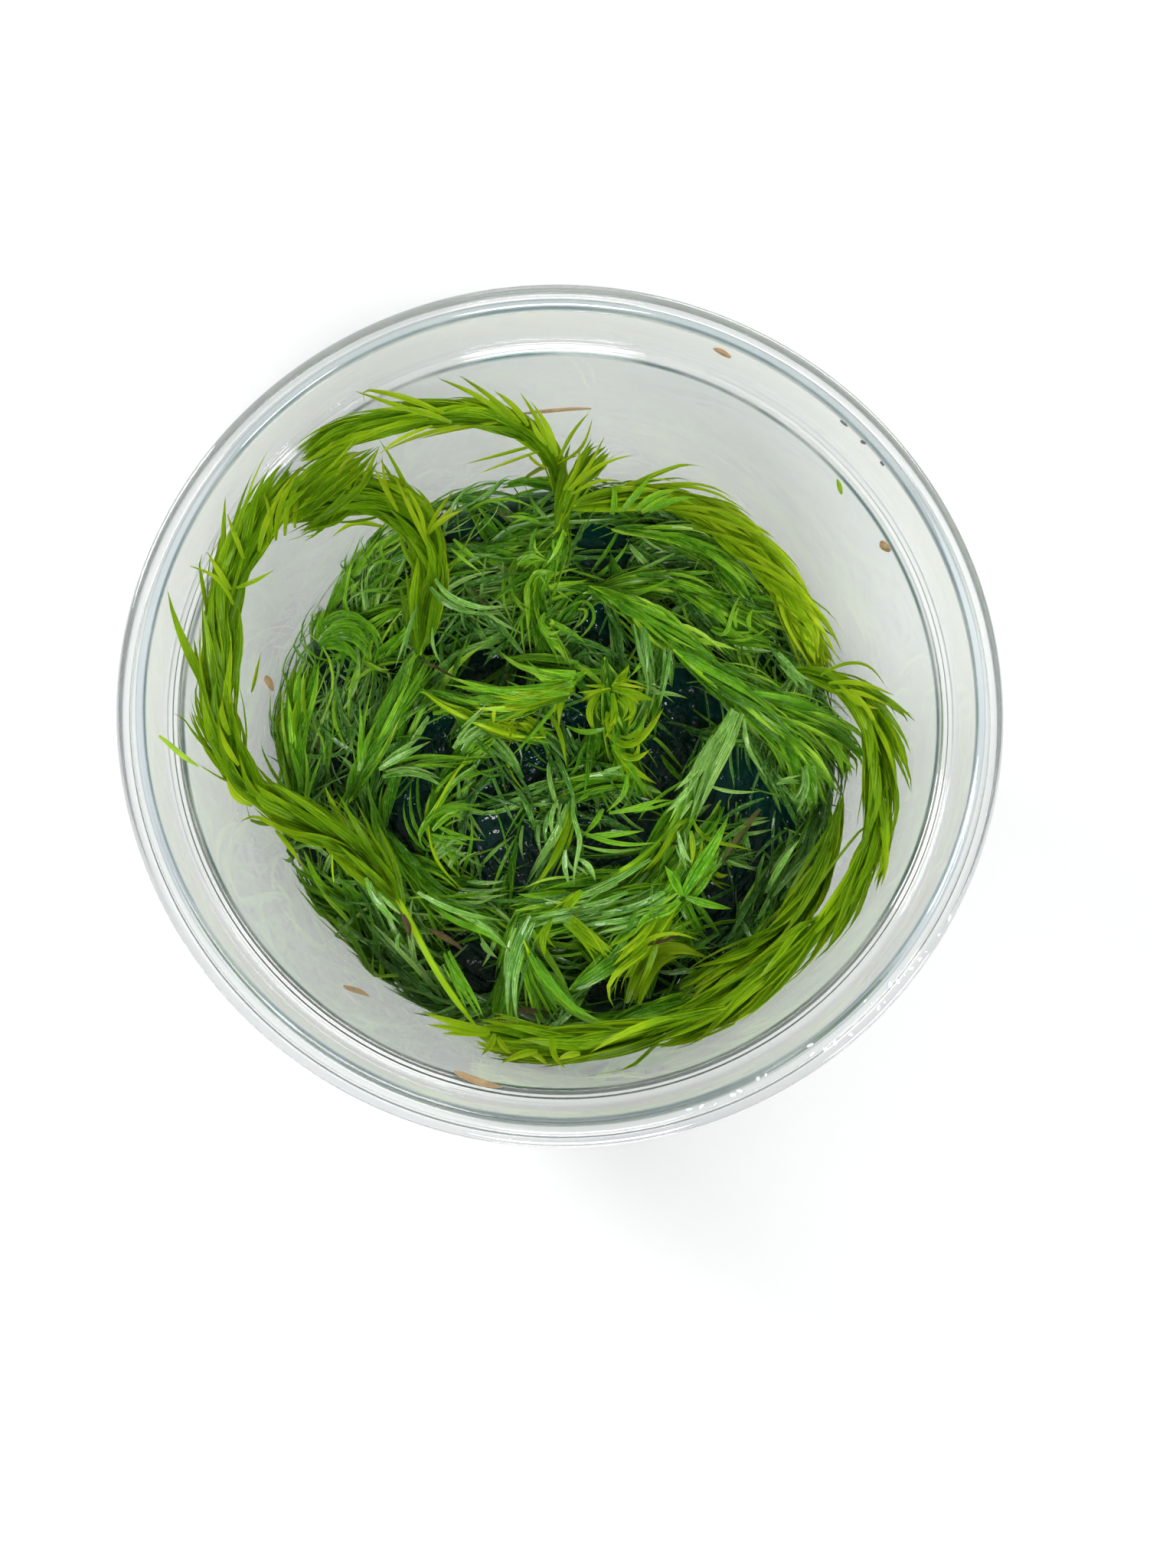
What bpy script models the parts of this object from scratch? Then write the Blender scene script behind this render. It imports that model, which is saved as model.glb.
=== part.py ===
# Stream bogmoss in a round clear tissue-culture cup, on a plug of dark gel.
# The origin is under the middle of the cup's base, +Z is up and +Y is away from the viewer.
# Sizes are in millimetres, and turned into metres as each mesh is made.

import math

import bmesh
import bpy
import numpy as np
from mathutils import Matrix, Vector

MM = 0.001

# Cup
CUP_HEIGHT = 48.0
SKIRT_RADIUS = 50.0       # outer edge of the rim
SKIRT_DROP = 3.8          # how far the rim's skirt hangs below the lip
SKIRT_WALL = 0.9
LIP_RADIUS = 47.0         # inside of the lip, where a lid would snap in
LEDGE_RADIUS = 44.4       # inner edge of the ledge, at the top of the plain wall
LEDGE_HEIGHT = 41.7
WALL_DRAFT = math.tan(math.radians(9.07))
WALL = 1.0
FLOOR_TOP = 1.8
FOOT_RADIUS = 37.4
FOOT_INNER_RADIUS = 31.0  # the flat ring that the cup stands on lies between the two
FOOT_RECESS = 0.5
TURN_STEPS = 64

# Gel
GEL_TOP = 11.0
MENISCUS_RISE = 0.5
MENISCUS_WIDTH = 1.4
GAP = 0.3                 # between the gel and the cup

# Shoots
TUBE_SIDES = 8
RING_SPACING = 4.0        # along a shoot
FINE_STEPS = 4            # places tested between two rings
CLEARANCE = 0.4           # between a shoot and what it lies on
STEM_END = 0.15           # share of a shoot's length where its foliage widens from the cut end
TIP_START = 0.8           # share of a shoot's length where it starts to narrow to the tip
BASE_FULLNESS = 0.6
TIP_FULLNESS = 0.3
BEND = 0.03               # how sharply a shoot drops off what it lies on, per mm squared
SOFTNESS = 0.6            # rounds the change from a wanted height to a supported one

# Loose scraps
SCRAP_THICKNESS = 0.35
SCRAP_GAP = 0.3

# Each shoot from its cut end to its tip, lowest first.  The first number is the radius of its
# foliage.  The points are (angle round the cup in degrees, distance from its axis, height).
# A height is where the shoot would like to be: it is raised over whatever already lies there.
WET_SHOOTS = (
    ("shoot_low_left_outer", 1.9, ((159, 30.5, 13), (186, 35, 13), (203, 35.5, 13))),
    ("shoot_low_left_inner", 1.9, ((147, 22.5, 13), (179, 25, 13), (201, 30, 13))),
    ("shoot_low_back_left", 1.9, ((88, 34.5, 13), (117, 29.5, 13), (142, 27, 13))),
    ("shoot_low_centre_left", 1.7, ((120, 29, 13), (116, 20.5, 13), (101, 19, 13), (86, 18, 13))),
    ("shoot_low_front_left", 2.0, ((207, 36, 13), (225, 37.5, 13), (251, 37.5, 13))),
    ("shoot_low_front_inner", 1.9, ((210, 31, 13), (231, 33, 13), (251, 33.5, 13))),
    ("shoot_low_front", 1.9, ((254, 35.5, 13), (274, 36.5, 13), (284, 36.5, 13))),
    ("shoot_low_front_right", 2.0, ((290, 36.5, 13), (307, 37.5, 13), (326, 37, 13))),
    ("shoot_low_right", 2.0, ((40, 39, 13), (9, 36.5, 13), (347, 35.5, 13))),
    ("shoot_low_back_right", 2.0, ((73, 33, 13), (53, 35, 13), (33, 34, 13))),
    ("shoot_low_centre", 1.5, ((213, 14.5, 13), (279, 5, 13), (328, 8.5, 13))),
    ("shoot_low_fork", 1.5, ((285, 7.5, 13), (273, 12.5, 13), (253, 26.5, 13))),
    ("shoot_low_right_inner", 1.6, ((13, 24.5, 13), (351, 29.5, 13), (343, 32, 13))),
    ("shoot_low_pale", 1.7, ((341, 37.5, 13), (334, 34.5, 13), (308, 35, 13))),
    ("shoot_low_left_middle", 1.8, ((136, 20, 13), (190, 23, 13), (201, 25, 13))),
    ("shoot_low_inner_front", 1.6, ((321, 20, 13), (304, 18, 13), (261, 12.5, 13))),
    ("shoot_low_back", 1.9, ((100, 28, 13), (77, 29, 13), (68, 29, 13))),
)
INNER_SHOOTS = (
    ("shoot_left_tuft", 2.0, ((135, 28.5, 17), (142, 30.5, 17), (155, 34.5, 17), (156, 37, 17))),
    ("shoot_left_curl", 1.8, ((233, 23, 17), (212, 21.5, 17), (170, 10, 17))),
    ("shoot_left_bundle", 2.0, ((196, 30, 17), (163, 22.5, 17), (148, 22, 17))),
    ("shoot_left_fringe", 2.0, ((198, 36.5, 17), (179, 36.5, 17), (162, 36, 17))),
    ("shoot_front_left", 1.9, ((206, 27, 17), (236, 26.5, 17), (249, 27, 17), (257, 29.5, 17))),
    ("shoot_back_column", 2.1, ((88, 33.5, 17), (91, 28.5, 17), (98, 24, 17), (86, 10, 17))),
    ("shoot_bright_left", 2.0, ((162, 20, 17), (165, 10, 17), (143, 2, 17))),
    ("shoot_right_fan", 2.0, ((82, 22, 17), (59, 27.5, 17), (26, 32, 17))),
    ("shoot_pale_centre", 1.7, ((56, 23, 17), (33, 14.5, 17), (14, 10, 17))),
    ("shoot_front_arch", 1.9, ((288, 36.5, 17), (295, 31.5, 17), (304, 35.5, 17))),
    ("shoot_front_drop", 1.8, ((258, 22, 17), (256, 27, 17), (259, 38.5, 17))),
    ("shoot_back_right", 2.0, ((77, 32, 17), (58, 34.5, 17), (37, 34, 17))),
    ("shoot_front_cross", 1.8, ((268, 24.5, 17), (277, 27, 17), (283, 31.5, 17))),
    ("shoot_centre_spray", 1.9, ((63, 13, 20), (340, 10.5, 20), (332, 14, 20))),
    ("shoot_left_spray", 1.9, ((70, 9.5, 20), (133, 6.5, 20), (155, 15, 20))),
    ("shoot_diagonal", 2.5, ((80, 22, 20), (50, 20.5, 20), (19, 24.5, 20), (4, 34.5, 20),
                             (359, 38, 20), (352, 40.5, 20))),
    ("shoot_diagonal_inner", 2.2, ((37, 18.5, 22), (19, 21, 22), (1, 28.5, 18), (353, 32, 17),
                                   (343, 34.5, 17))),
    ("shoot_inner_front", 2.2, ((4, 21.5, 20), (301, 19.5, 20), (254, 23.5, 20))),
    ("shoot_inner_pair", 2.1, ((306, 24.5, 20), (280, 24, 20), (258, 25.5, 20))),
    ("shoot_long_strand", 2.0, ((259, 25.5, 20), (262, 30, 20), (274, 37, 20), (298, 40.5, 20))),
    ("shoot_star", 2.1, ((271, 33.5, 20), (289, 28.5, 20), (319, 25, 20))),
)
LEANING_SHOOTS = (
    ("shoot_loop_inner_right", 2.4, ((347, 38, 24), (328, 39, 24), (295, 37.5, 24))),
    ("shoot_edge_right", 2.5, ((88, 33, 20), (72, 36.5, 19), (55, 37.8, 19), (43, 38, 19),
                               (30, 37.5, 20), (15, 36.5, 22))),
    ("shoot_loop_right", 2.7, ((16, 32, 24), (3, 38, 32), (354, 39, 34), (335, 41, 35),
                               (326, 41.5, 34), (317, 41, 34), (307, 41, 33), (286, 40.5, 31))),
    ("shoot_loop_front", 2.5, ((298, 40.5, 30), (280, 40.5, 31), (255, 39.5, 31))),
    ("shoot_arc_left", 3.4, ((150, 22, 18), (137, 25.5, 20), (128, 29.0, 23.5), (126, 33.5, 29),
                             (131.5, 37.5, 35), (138.5, 39.8, 37.5), (146, 40.3, 39))),
    ("shoot_loop_left", 2.4, ((255, 39.5, 28), (247, 36, 28), (235, 32, 28), (222, 30, 28),
                              (210, 31, 28), (200, 35, 27), (194, 38.5, 28), (190.5, 40.2, 32),
                              (186, 40.4, 36), (181, 40.7, 38.5), (173.5, 41, 39.7),
                              (167.5, 41.3, 41), (160, 41.8, 42.4), (151.5, 42, 42.2),
                              (143.3, 42, 41.6), (138, 42, 41))),
    ("shoot_arc_back", 1.9, ((89, 27.5, 20), (90, 32.3, 28), (93, 35.3, 33), (98.5, 37.1, 37),
                             (109.5, 38.7, 41), (120, 40.4, 42), (130.5, 42.4, 42),
                             (136.5, 42.5, 42.5))),
    ("shoot_tuft_back", 1.8, ((92, 25, 24), (85, 33, 28), (81, 36, 30))),
)

# Each scrap: material, length, width, the angle and height of its middle, its turn in degrees
# from level on the surface that it clings to, and that surface.
SCRAPS = (
    ("dead_leaf_long", "dead_leaf", 10.0, 0.8, 91.6, 31.0, 6, "wall"),
    ("dead_leaf_short", "dead_leaf", 4.6, 0.8, 73.5, 16.5, 2, "wall"),
    ("dead_scrap_seat", "dead_leaf", 2.4, 1.0, 65.8, 46.0, 0, "seat"),
    ("dead_scrap_right", "dead_leaf", 2.2, 1.5, 26.7, 40.9, 70, "wall"),
    ("dead_husk", "dead_leaf", 4.0, 1.4, 169.0, 19.5, 80, "wall"),
    ("dead_sliver_front", "dead_leaf", 3.5, 0.9, 232.9, 29.5, 20, "off the wall"),
    ("dead_strip_front", "dead_leaf", 5.6, 1.0, 257.2, 41.6, -6, "ledge"),
    ("green_scrap_right", "leaf_bright", 2.2, 0.9, 39.1, 40.6, -36, "wall"),
    ("loose_leaf_left", "leaf_bright", 5.8, 0.7, 188.6, 43.2, 52, "ledge"),
)
LEDGE_LEAN = math.radians(48)   # of the scraps that bridge the ledge
LEDGE_OUT = 0.6                 # how far outside the ledge's edge their middles are
LEDGE_SHIFT = 0.55              # off the ledge's edge, along a scrap's normal
OPEN_LEAN = math.radians(40)    # of the sliver that hangs by one edge
OPEN_SHIFT = 0.3                # off the wall, along its normal

# Colour, roughness and metallic value
MATERIALS = {
    "clear_cup": ((0.86, 0.90, 0.88, 1.0), 0.08, 0.0),
    "dark_gel": ((0.004, 0.012, 0.016, 1.0), 0.12, 0.0),
    "leaf_bright": ((0.16, 0.36, 0.02, 1.0), 0.38, 0.0),
    "leaf_deep": ((0.06, 0.20, 0.02, 1.0), 0.35, 0.0),
    "leaf_wet": ((0.10, 0.20, 0.07, 1.0), 0.25, 0.0),
    "dead_leaf": ((0.36, 0.20, 0.06, 1.0), 0.60, 0.0),
}


def clear_scene():
    for old in list(bpy.data.objects):
        bpy.data.objects.remove(old)


def make_material(name):
    colour, roughness, metallic = MATERIALS[name]
    material = bpy.data.materials.new(name)
    material.use_nodes = True
    shader = material.node_tree.nodes["Principled BSDF"]
    shader.inputs["Base Color"].default_value = colour
    shader.inputs["Roughness"].default_value = roughness
    shader.inputs["Metallic"].default_value = metallic
    return material


def add_object(name, mesh_data, material):
    mesh = bpy.data.meshes.new(name)
    mesh_data.normal_update()
    mesh_data.to_mesh(mesh)
    mesh_data.free()
    mesh.shade_smooth()
    mesh.set_sharp_from_angle(angle=math.radians(35))
    mesh.materials.append(material)
    made = bpy.data.objects.new(name, mesh)
    bpy.context.scene.collection.objects.link(made)
    return made


# Cup and gel

def wall_radius(height):
    # Inner radius of the plain tapered wall.
    return LEDGE_RADIUS - (LEDGE_HEIGHT - height) * WALL_DRAFT


def cup_profile():
    # Down the outside from the lip, over the foot, and up the inside to the lip again.
    seat_drop = CUP_HEIGHT - LEDGE_HEIGHT
    skirt_foot = CUP_HEIGHT - SKIRT_DROP
    ledge_outer = LIP_RADIUS - 1.1
    outside = [
        (LIP_RADIUS + 0.7, CUP_HEIGHT),
        (SKIRT_RADIUS - 0.4, CUP_HEIGHT),
        (SKIRT_RADIUS, CUP_HEIGHT - 0.4),
        (SKIRT_RADIUS, skirt_foot),
        (SKIRT_RADIUS - SKIRT_WALL, skirt_foot),
        (SKIRT_RADIUS - SKIRT_WALL - 0.4, CUP_HEIGHT - 1.7),
        (LIP_RADIUS + WALL - 0.1, CUP_HEIGHT - 1.9),
        (ledge_outer + WALL, CUP_HEIGHT - seat_drop + 0.2),
        (ledge_outer + 0.4, LEDGE_HEIGHT - 0.9),
        (LEDGE_RADIUS + WALL, LEDGE_HEIGHT - 1.3),
        (wall_radius(2.0) + WALL, 2.0),
        (FOOT_RADIUS + 1.0, 0.7),
        (FOOT_RADIUS, 0.0),
        (FOOT_INNER_RADIUS, 0.0),
        (FOOT_INNER_RADIUS - 0.6, FOOT_RECESS),
        (0.0, FOOT_RECESS),
    ]
    inside = [
        (0.0, FLOOR_TOP),
        (wall_radius(FLOOR_TOP) - 1.2, FLOOR_TOP),
        (wall_radius(FLOOR_TOP + 1.2), FLOOR_TOP + 1.2),
        (LEDGE_RADIUS, LEDGE_HEIGHT),
        (LEDGE_RADIUS + 0.3, LEDGE_HEIGHT + 0.3),
        (ledge_outer - 0.5, LEDGE_HEIGHT + 0.5),
        (ledge_outer + 0.2, LEDGE_HEIGHT + 1.4),
        (LIP_RADIUS, CUP_HEIGHT - 0.3),
    ]
    return outside + inside


def gel_profile():
    # Down the outside of the plug from the rim of its meniscus, then up to the middle of its top.
    rim = GEL_TOP + MENISCUS_RISE
    foot = FLOOR_TOP + GAP
    corner = foot + 1.2
    return [
        (wall_radius(rim) - GAP, rim),
        (wall_radius(corner) - GAP, corner),
        (wall_radius(foot) - GAP - 1.3, foot),
        (0.0, foot),
        (0.0, GEL_TOP),
        (wall_radius(GEL_TOP) - GAP - MENISCUS_WIDTH, GEL_TOP),
        (wall_radius(GEL_TOP) - GAP - MENISCUS_WIDTH / 3, GEL_TOP + MENISCUS_RISE / 3),
    ]


def turned(profile):
    # A solid of revolution.  A point on the axis becomes one vertex.
    made = bmesh.new()
    rings = []
    for radius, height in profile:
        if radius == 0.0:
            rings.append([made.verts.new((0.0, 0.0, height * MM))] * TURN_STEPS)
            continue
        ring = []
        for step in range(TURN_STEPS):
            angle = 2 * math.pi * step / TURN_STEPS
            place = (radius * math.cos(angle), radius * math.sin(angle), height)
            ring.append(made.verts.new(Vector(place) * MM))
        rings.append(ring)
    for upper, lower in zip(rings, rings[1:] + rings[:1]):
        for step in range(TURN_STEPS):
            following = (step + 1) % TURN_STEPS
            corners = [upper[step], lower[step], lower[following], upper[following]]
            face = list(dict.fromkeys(corners))
            if len(face) > 2:
                made.faces.new(face)
    return made


# Shoots

def smooth_line(points, count):
    # A natural cubic spline through the points, read at evenly spaced places.
    points = np.asarray(points, float)
    knots = np.r_[0.0, np.cumsum(np.linalg.norm(np.diff(points, axis=0), axis=1))]
    spans = np.diff(knots)
    last = len(points) - 1
    system = np.eye(last + 1)
    target = np.zeros_like(points)
    for i in range(1, last):
        system[i, i - 1:i + 2] = (spans[i - 1], 2 * (spans[i - 1] + spans[i]), spans[i])
        rise_after = (points[i + 1] - points[i]) / spans[i]
        rise_before = (points[i] - points[i - 1]) / spans[i - 1]
        target[i] = 6 * (rise_after - rise_before)
    curvature = np.linalg.solve(system, target)
    places = np.linspace(0.0, knots[-1], count)
    left = np.clip(np.searchsorted(knots, places, side="right") - 1, 0, last - 1)
    span = spans[left][:, None]
    after = (places - knots[left])[:, None] / span
    before = 1.0 - after
    line = before * points[left] + after * points[left + 1]
    bow = (before ** 3 - before) * curvature[left] + (after ** 3 - after) * curvature[left + 1]
    return line + bow * span ** 2 / 6, knots[-1]


def fullness(share):
    # Width of the foliage along a shoot, as a share of its full radius.
    widening = BASE_FULLNESS + (1 - BASE_FULLNESS) * share / STEM_END
    narrowing = 1 - (1 - TIP_FULLNESS) * (share - TIP_START) / (1 - TIP_START)
    return np.where(share < STEM_END, widening, np.where(share > TIP_START, narrowing, 1.0))


def between_rings(values, count):
    # The values at the places tested along the straight runs between rings.
    places = np.linspace(0, count - 1, (count - 1) * FINE_STEPS + 1)
    left = np.minimum(places.astype(int), count - 2)
    share = places - left
    if values.ndim == 2:
        share = share[:, None]
    return values[left] * (1 - share) + values[left + 1] * share


def lay_shoot(radius, route, laid):
    # Rings of a shoot laid on the gel, inside the wall and over the shoots that already lie there.
    points = [(r * math.cos(math.radians(a)), r * math.sin(math.radians(a)), z) for a, r, z in route]
    length = smooth_line(points, 2)[1]
    count = max(5, round(length / RING_SPACING) + 1)
    rings = smooth_line(points, count)[0]
    radii = radius * fullness(np.linspace(0, 1, count))
    wanted = np.maximum(rings[:, 2], GEL_TOP + radii + CLEARANCE)
    inside_wall = wall_radius(wanted) - (radii + CLEARANCE) * math.hypot(1, WALL_DRAFT)
    pull_in = np.minimum(1.0, inside_wall / np.hypot(rings[:, 0], rings[:, 1]))
    rings[:, :2] *= pull_in[:, None]
    places = between_rings(rings[:, :2], count)
    place_radii = between_rings(radii, count)
    support = np.full(len(places), -np.inf)
    if len(laid):
        flat = ((places[:, None, :] - laid[None, :, :2]) ** 2).sum(axis=2)
        reach = place_radii[:, None] + laid[None, :, 3] + CLEARANCE
        over = laid[None, :, 2] + np.sqrt(np.maximum(reach ** 2 - flat, 0.0))
        support = np.where(flat < reach ** 2, over, -np.inf).max(axis=1)
    under = [support[max(0, (i - 1) * FINE_STEPS):(i + 1) * FINE_STEPS + 1].max() for i in range(count)]
    along = np.linspace(0, length, count)
    falls = BEND * (along[:, None] - along[None, :]) ** 2
    carried = (np.array(under)[None, :] - falls).max(axis=1)
    higher = np.maximum(wanted, carried)
    apart = np.where(np.isfinite(carried), np.abs(wanted - carried), np.inf)
    rings[:, 2] = higher + SOFTNESS * np.log1p(np.exp(-apart / SOFTNESS))
    heights = between_rings(rings[:, 2], count)
    now_laid = np.c_[places, heights, place_radii]
    return rings, radii, np.r_[laid, now_laid]


def shoot_tube(rings, radii):
    # A closed tube of the foliage's outer form, with a flat end at the cut and at the tip.
    steps = np.diff(rings, axis=0)
    steps /= np.linalg.norm(steps, axis=1)[:, None]
    made = bmesh.new()
    across = Vector(steps[0]).orthogonal().normalized()
    loops = []
    for i, (centre, radius) in enumerate(zip(rings.tolist(), radii.tolist())):
        along = Vector(steps[max(i - 1, 0)] + steps[min(i, len(steps) - 1)]).normalized()
        across = (across - along * across.dot(along)).normalized()
        side = along.cross(across)
        loop = []
        for k in range(TUBE_SIDES):
            angle = 2 * math.pi * k / TUBE_SIDES
            place = Vector(centre) + radius * (across * math.cos(angle) + side * math.sin(angle))
            loop.append(made.verts.new(place * MM))
        loops.append(loop)
    for loop, following in zip(loops, loops[1:]):
        for k in range(TUBE_SIDES):
            nxt = (k + 1) % TUBE_SIDES
            made.faces.new((loop[k], loop[nxt], following[nxt], following[k]))
    made.faces.new(loops[0][::-1])
    made.faces.new(loops[-1])
    return made


# Loose scraps

def leaf_outline(length, width):
    # A pointed leaf seen from above, its long axis along X.
    outline = []
    for k in range(8):
        angle = 2 * math.pi * k / 8
        reach = math.sin(angle) * abs(math.sin(angle)) ** 0.3
        outline.append((math.cos(angle) * length / 2, reach * width / 2))
    return outline


def scrap_mesh(length, width):
    made = bmesh.new()
    half = SCRAP_THICKNESS / 2
    lower = [made.verts.new(Vector((x, y, -half)) * MM) for x, y in leaf_outline(length, width)]
    upper = [made.verts.new(Vector((x, y, half)) * MM) for x, y in leaf_outline(length, width)]
    made.faces.new(lower[::-1])
    made.faces.new(upper)
    for k in range(len(lower)):
        nxt = (k + 1) % len(lower)
        made.faces.new((lower[k], lower[nxt], upper[nxt], upper[k]))
    return made


def surface_under(surface, height):
    # Radius of the surface that a scrap clings to, and the lean of its normal from level.
    draft = math.atan(WALL_DRAFT)
    if surface == "seat":
        foot = LIP_RADIUS - 0.9
        foot_height = LEDGE_HEIGHT + 1.4
        slope = (LIP_RADIUS - foot) / (CUP_HEIGHT - 0.3 - foot_height)
        return foot + (height - foot_height) * slope, math.atan(slope)
    if surface == "ledge":
        return LEDGE_RADIUS + LEDGE_OUT, LEDGE_LEAN
    if surface == "off the wall":
        return wall_radius(height), OPEN_LEAN
    return wall_radius(height), draft


def place_scrap(made, length, angle, height, turn, surface):
    radius, lean = surface_under(surface, height)
    outward = Vector((math.cos(math.radians(angle)), math.sin(math.radians(angle)), 0.0))
    level = Vector((-outward.y, outward.x, 0.0))
    normal = -outward * math.cos(lean) + Vector((0.0, 0.0, math.sin(lean)))
    upward = normal.cross(level)
    long_axis = level * math.cos(math.radians(turn)) + upward * math.sin(math.radians(turn))
    turned_axes = Matrix((long_axis, normal.cross(long_axis), normal)).transposed()
    sag = (length * math.cos(math.radians(turn))) ** 2 / (8 * radius)
    off = SCRAP_GAP + SCRAP_THICKNESS / 2 + sag
    if surface == "ledge":
        off += LEDGE_SHIFT
    if surface == "off the wall":
        off += OPEN_SHIFT
    place = outward * radius + Vector((0.0, 0.0, height)) + normal * off
    made.location = place * MM
    made.rotation_euler = turned_axes.to_euler()


def build():
    clear_scene()
    materials = {name: make_material(name) for name in MATERIALS}
    add_object("cup", turned(cup_profile()), materials["clear_cup"])
    add_object("gel", turned(gel_profile()), materials["dark_gel"])
    laid = np.zeros((0, 4))
    groups = ((WET_SHOOTS, "leaf_wet"), (INNER_SHOOTS, "leaf_deep"), (LEANING_SHOOTS, "leaf_bright"))
    for shoots, material in groups:
        for name, radius, route in shoots:
            rings, radii, laid = lay_shoot(radius, route, laid)
            add_object(name, shoot_tube(rings, radii), materials[material])
    for name, material, length, width, angle, height, turn, surface in SCRAPS:
        scrap = add_object(name, scrap_mesh(length, width), materials[material])
        place_scrap(scrap, length, angle, height, turn, surface)


build()
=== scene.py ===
import math

import bpy
import numpy as np
from mathutils import Matrix, Vector


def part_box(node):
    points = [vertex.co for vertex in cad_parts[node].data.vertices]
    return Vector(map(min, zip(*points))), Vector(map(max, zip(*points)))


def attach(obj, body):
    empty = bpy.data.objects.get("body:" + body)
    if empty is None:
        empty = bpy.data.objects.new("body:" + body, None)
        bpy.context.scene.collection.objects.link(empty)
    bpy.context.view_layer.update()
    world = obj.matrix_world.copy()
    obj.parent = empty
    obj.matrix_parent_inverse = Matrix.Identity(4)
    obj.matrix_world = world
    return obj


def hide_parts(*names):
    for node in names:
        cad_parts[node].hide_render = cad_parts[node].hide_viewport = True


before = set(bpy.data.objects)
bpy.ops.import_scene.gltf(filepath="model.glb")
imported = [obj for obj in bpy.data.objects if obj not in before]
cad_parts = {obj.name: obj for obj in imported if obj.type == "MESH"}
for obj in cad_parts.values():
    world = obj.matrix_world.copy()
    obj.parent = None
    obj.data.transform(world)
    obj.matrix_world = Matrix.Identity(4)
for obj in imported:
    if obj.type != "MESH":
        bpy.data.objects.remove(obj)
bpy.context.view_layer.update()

mm = 0.001
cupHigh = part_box("cup")[1]
gelLow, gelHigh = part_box("gel")
print("frame loaded:", len(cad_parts), "nodes")


# Camera: the photograph's view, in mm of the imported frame

view = {
    "place": (-3.09, -33.51, 176.67),
    "look": (0.04135, 0.17195, -0.98424),
    "up": (0.0, 0.98508, 0.17210),
    "lens": 27.05,
    "sensor": 36.0,         # along the picture's long side
    "picture": (1536, 2048),
}


def makeCamera():
    look = Vector(view["look"]).normalized()
    right = look.cross(Vector(view["up"])).normalized()
    turn = Matrix((right, right.cross(look), -look)).transposed()
    data = bpy.data.cameras.new("camera")
    data.lens = view["lens"]
    data.sensor_width = view["sensor"]
    data.clip_start = 0.01
    made = bpy.data.objects.new("camera", data)
    made.matrix_world = Matrix.Translation(Vector(view["place"]) * mm) @ turn.to_4x4()
    bpy.context.scene.collection.objects.link(made)
    bpy.context.scene.camera = made


def pictureAxes():  # right, up and ahead in the picture, and its focal length in pixels
    look = np.array(view["look"])
    right = np.cross(look, np.array(view["up"]))
    return right, np.cross(right, look), look, view["lens"] / view["sensor"] * view["picture"][1]


def seenAt(x, y, height):  # the place at a height, in mm, that the picture shows at a pixel
    right, up, look, focal = pictureAxes()
    wide, high = view["picture"]
    ray = look * focal + right * (x - wide / 2) + up * (high / 2 - y)
    start = np.array(view["place"])
    return start + ray * (height - start[2]) / ray[2]


def pixelOf(points):  # where the picture shows places given in mm
    right, up, look, focal = pictureAxes()
    wide, high = view["picture"]
    off = points - np.array(view["place"])
    depth = off @ look
    return wide / 2 + focal * (off @ right) / depth, high / 2 - focal * (off @ up) / depth


makeCamera()


# Light and floor

studio = {
    "sky": (0.93, 0.97, 1.0, 1.0),
    "skyStrength": 0.42,
    "floor": (0.50, 0.50, 0.50, 1.0),
    "floorSize": 6.0,       # metres
    "floorDrop": 0.0002,
    "lamps": {              # place, what it points at, size in metres, power in watts
        "lamp_left": ((-0.70, 0.55, 0.60), (0, 0, 0.03), 0.30, 11.0),
        "lamp_front": ((0.05, -0.52, 0.85), (0, 0, 0.02), 0.32, 10.0),
        "lamp_right": ((0.80, -0.55, 0.55), (0, 0, 0.03), 0.35, 7.0),
        "lamp_back": ((0.45, 0.85, 0.60), (0, 0, 0.02), 0.60, 8.0),
    },
}


def makeStudio():
    world = bpy.data.worlds.new("studio")
    world.use_nodes = True
    sky = world.node_tree.nodes["Background"]
    sky.inputs["Color"].default_value = studio["sky"]
    sky.inputs["Strength"].default_value = studio["skyStrength"]
    bpy.context.scene.world = world
    bpy.context.scene.view_settings.view_transform = "Standard"
    for name, (place, target, size, power) in studio["lamps"].items():
        data = bpy.data.lights.new(name, "AREA")
        data.size = size
        data.energy = power
        made = bpy.data.objects.new(name, data)
        made.location = place
        made.rotation_euler = (Vector(target) - Vector(place)).to_track_quat("-Z", "Y").to_euler()
        bpy.context.scene.collection.objects.link(made)
    half = studio["floorSize"] / 2
    drop = -studio["floorDrop"]
    mesh = bpy.data.meshes.new("floor")
    corners = [(-half, -half, drop), (half, -half, drop), (half, half, drop), (-half, half, drop)]
    mesh.from_pydata(corners, [], [(0, 1, 2, 3)])
    floor = bpy.data.objects.new("floor", mesh)
    bpy.context.scene.collection.objects.link(floor)
    paper = Finish("floorPaper")
    paper.close(paper.principled({"Base Color": studio["floor"], "Roughness": 0.9}))
    mesh.materials.append(paper.material)


# Materials

class Link:  # one socket of a material, on which sums can be written
    def __init__(self, finish, socket):
        self.finish = finish
        self.socket = socket

    def sum(self, operation, first, second):
        return self.finish.node("ShaderNodeMath", {"operation": operation}, {0: first, 1: second})

    def __add__(self, other):
        return self.sum("ADD", self, other)

    def __radd__(self, other):
        return self.sum("ADD", other, self)

    def __sub__(self, other):
        return self.sum("SUBTRACT", self, other)

    def __rsub__(self, other):
        return self.sum("SUBTRACT", other, self)

    def __mul__(self, other):
        return self.sum("MULTIPLY", self, other)

    def __rmul__(self, other):
        return self.sum("MULTIPLY", other, self)


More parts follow.
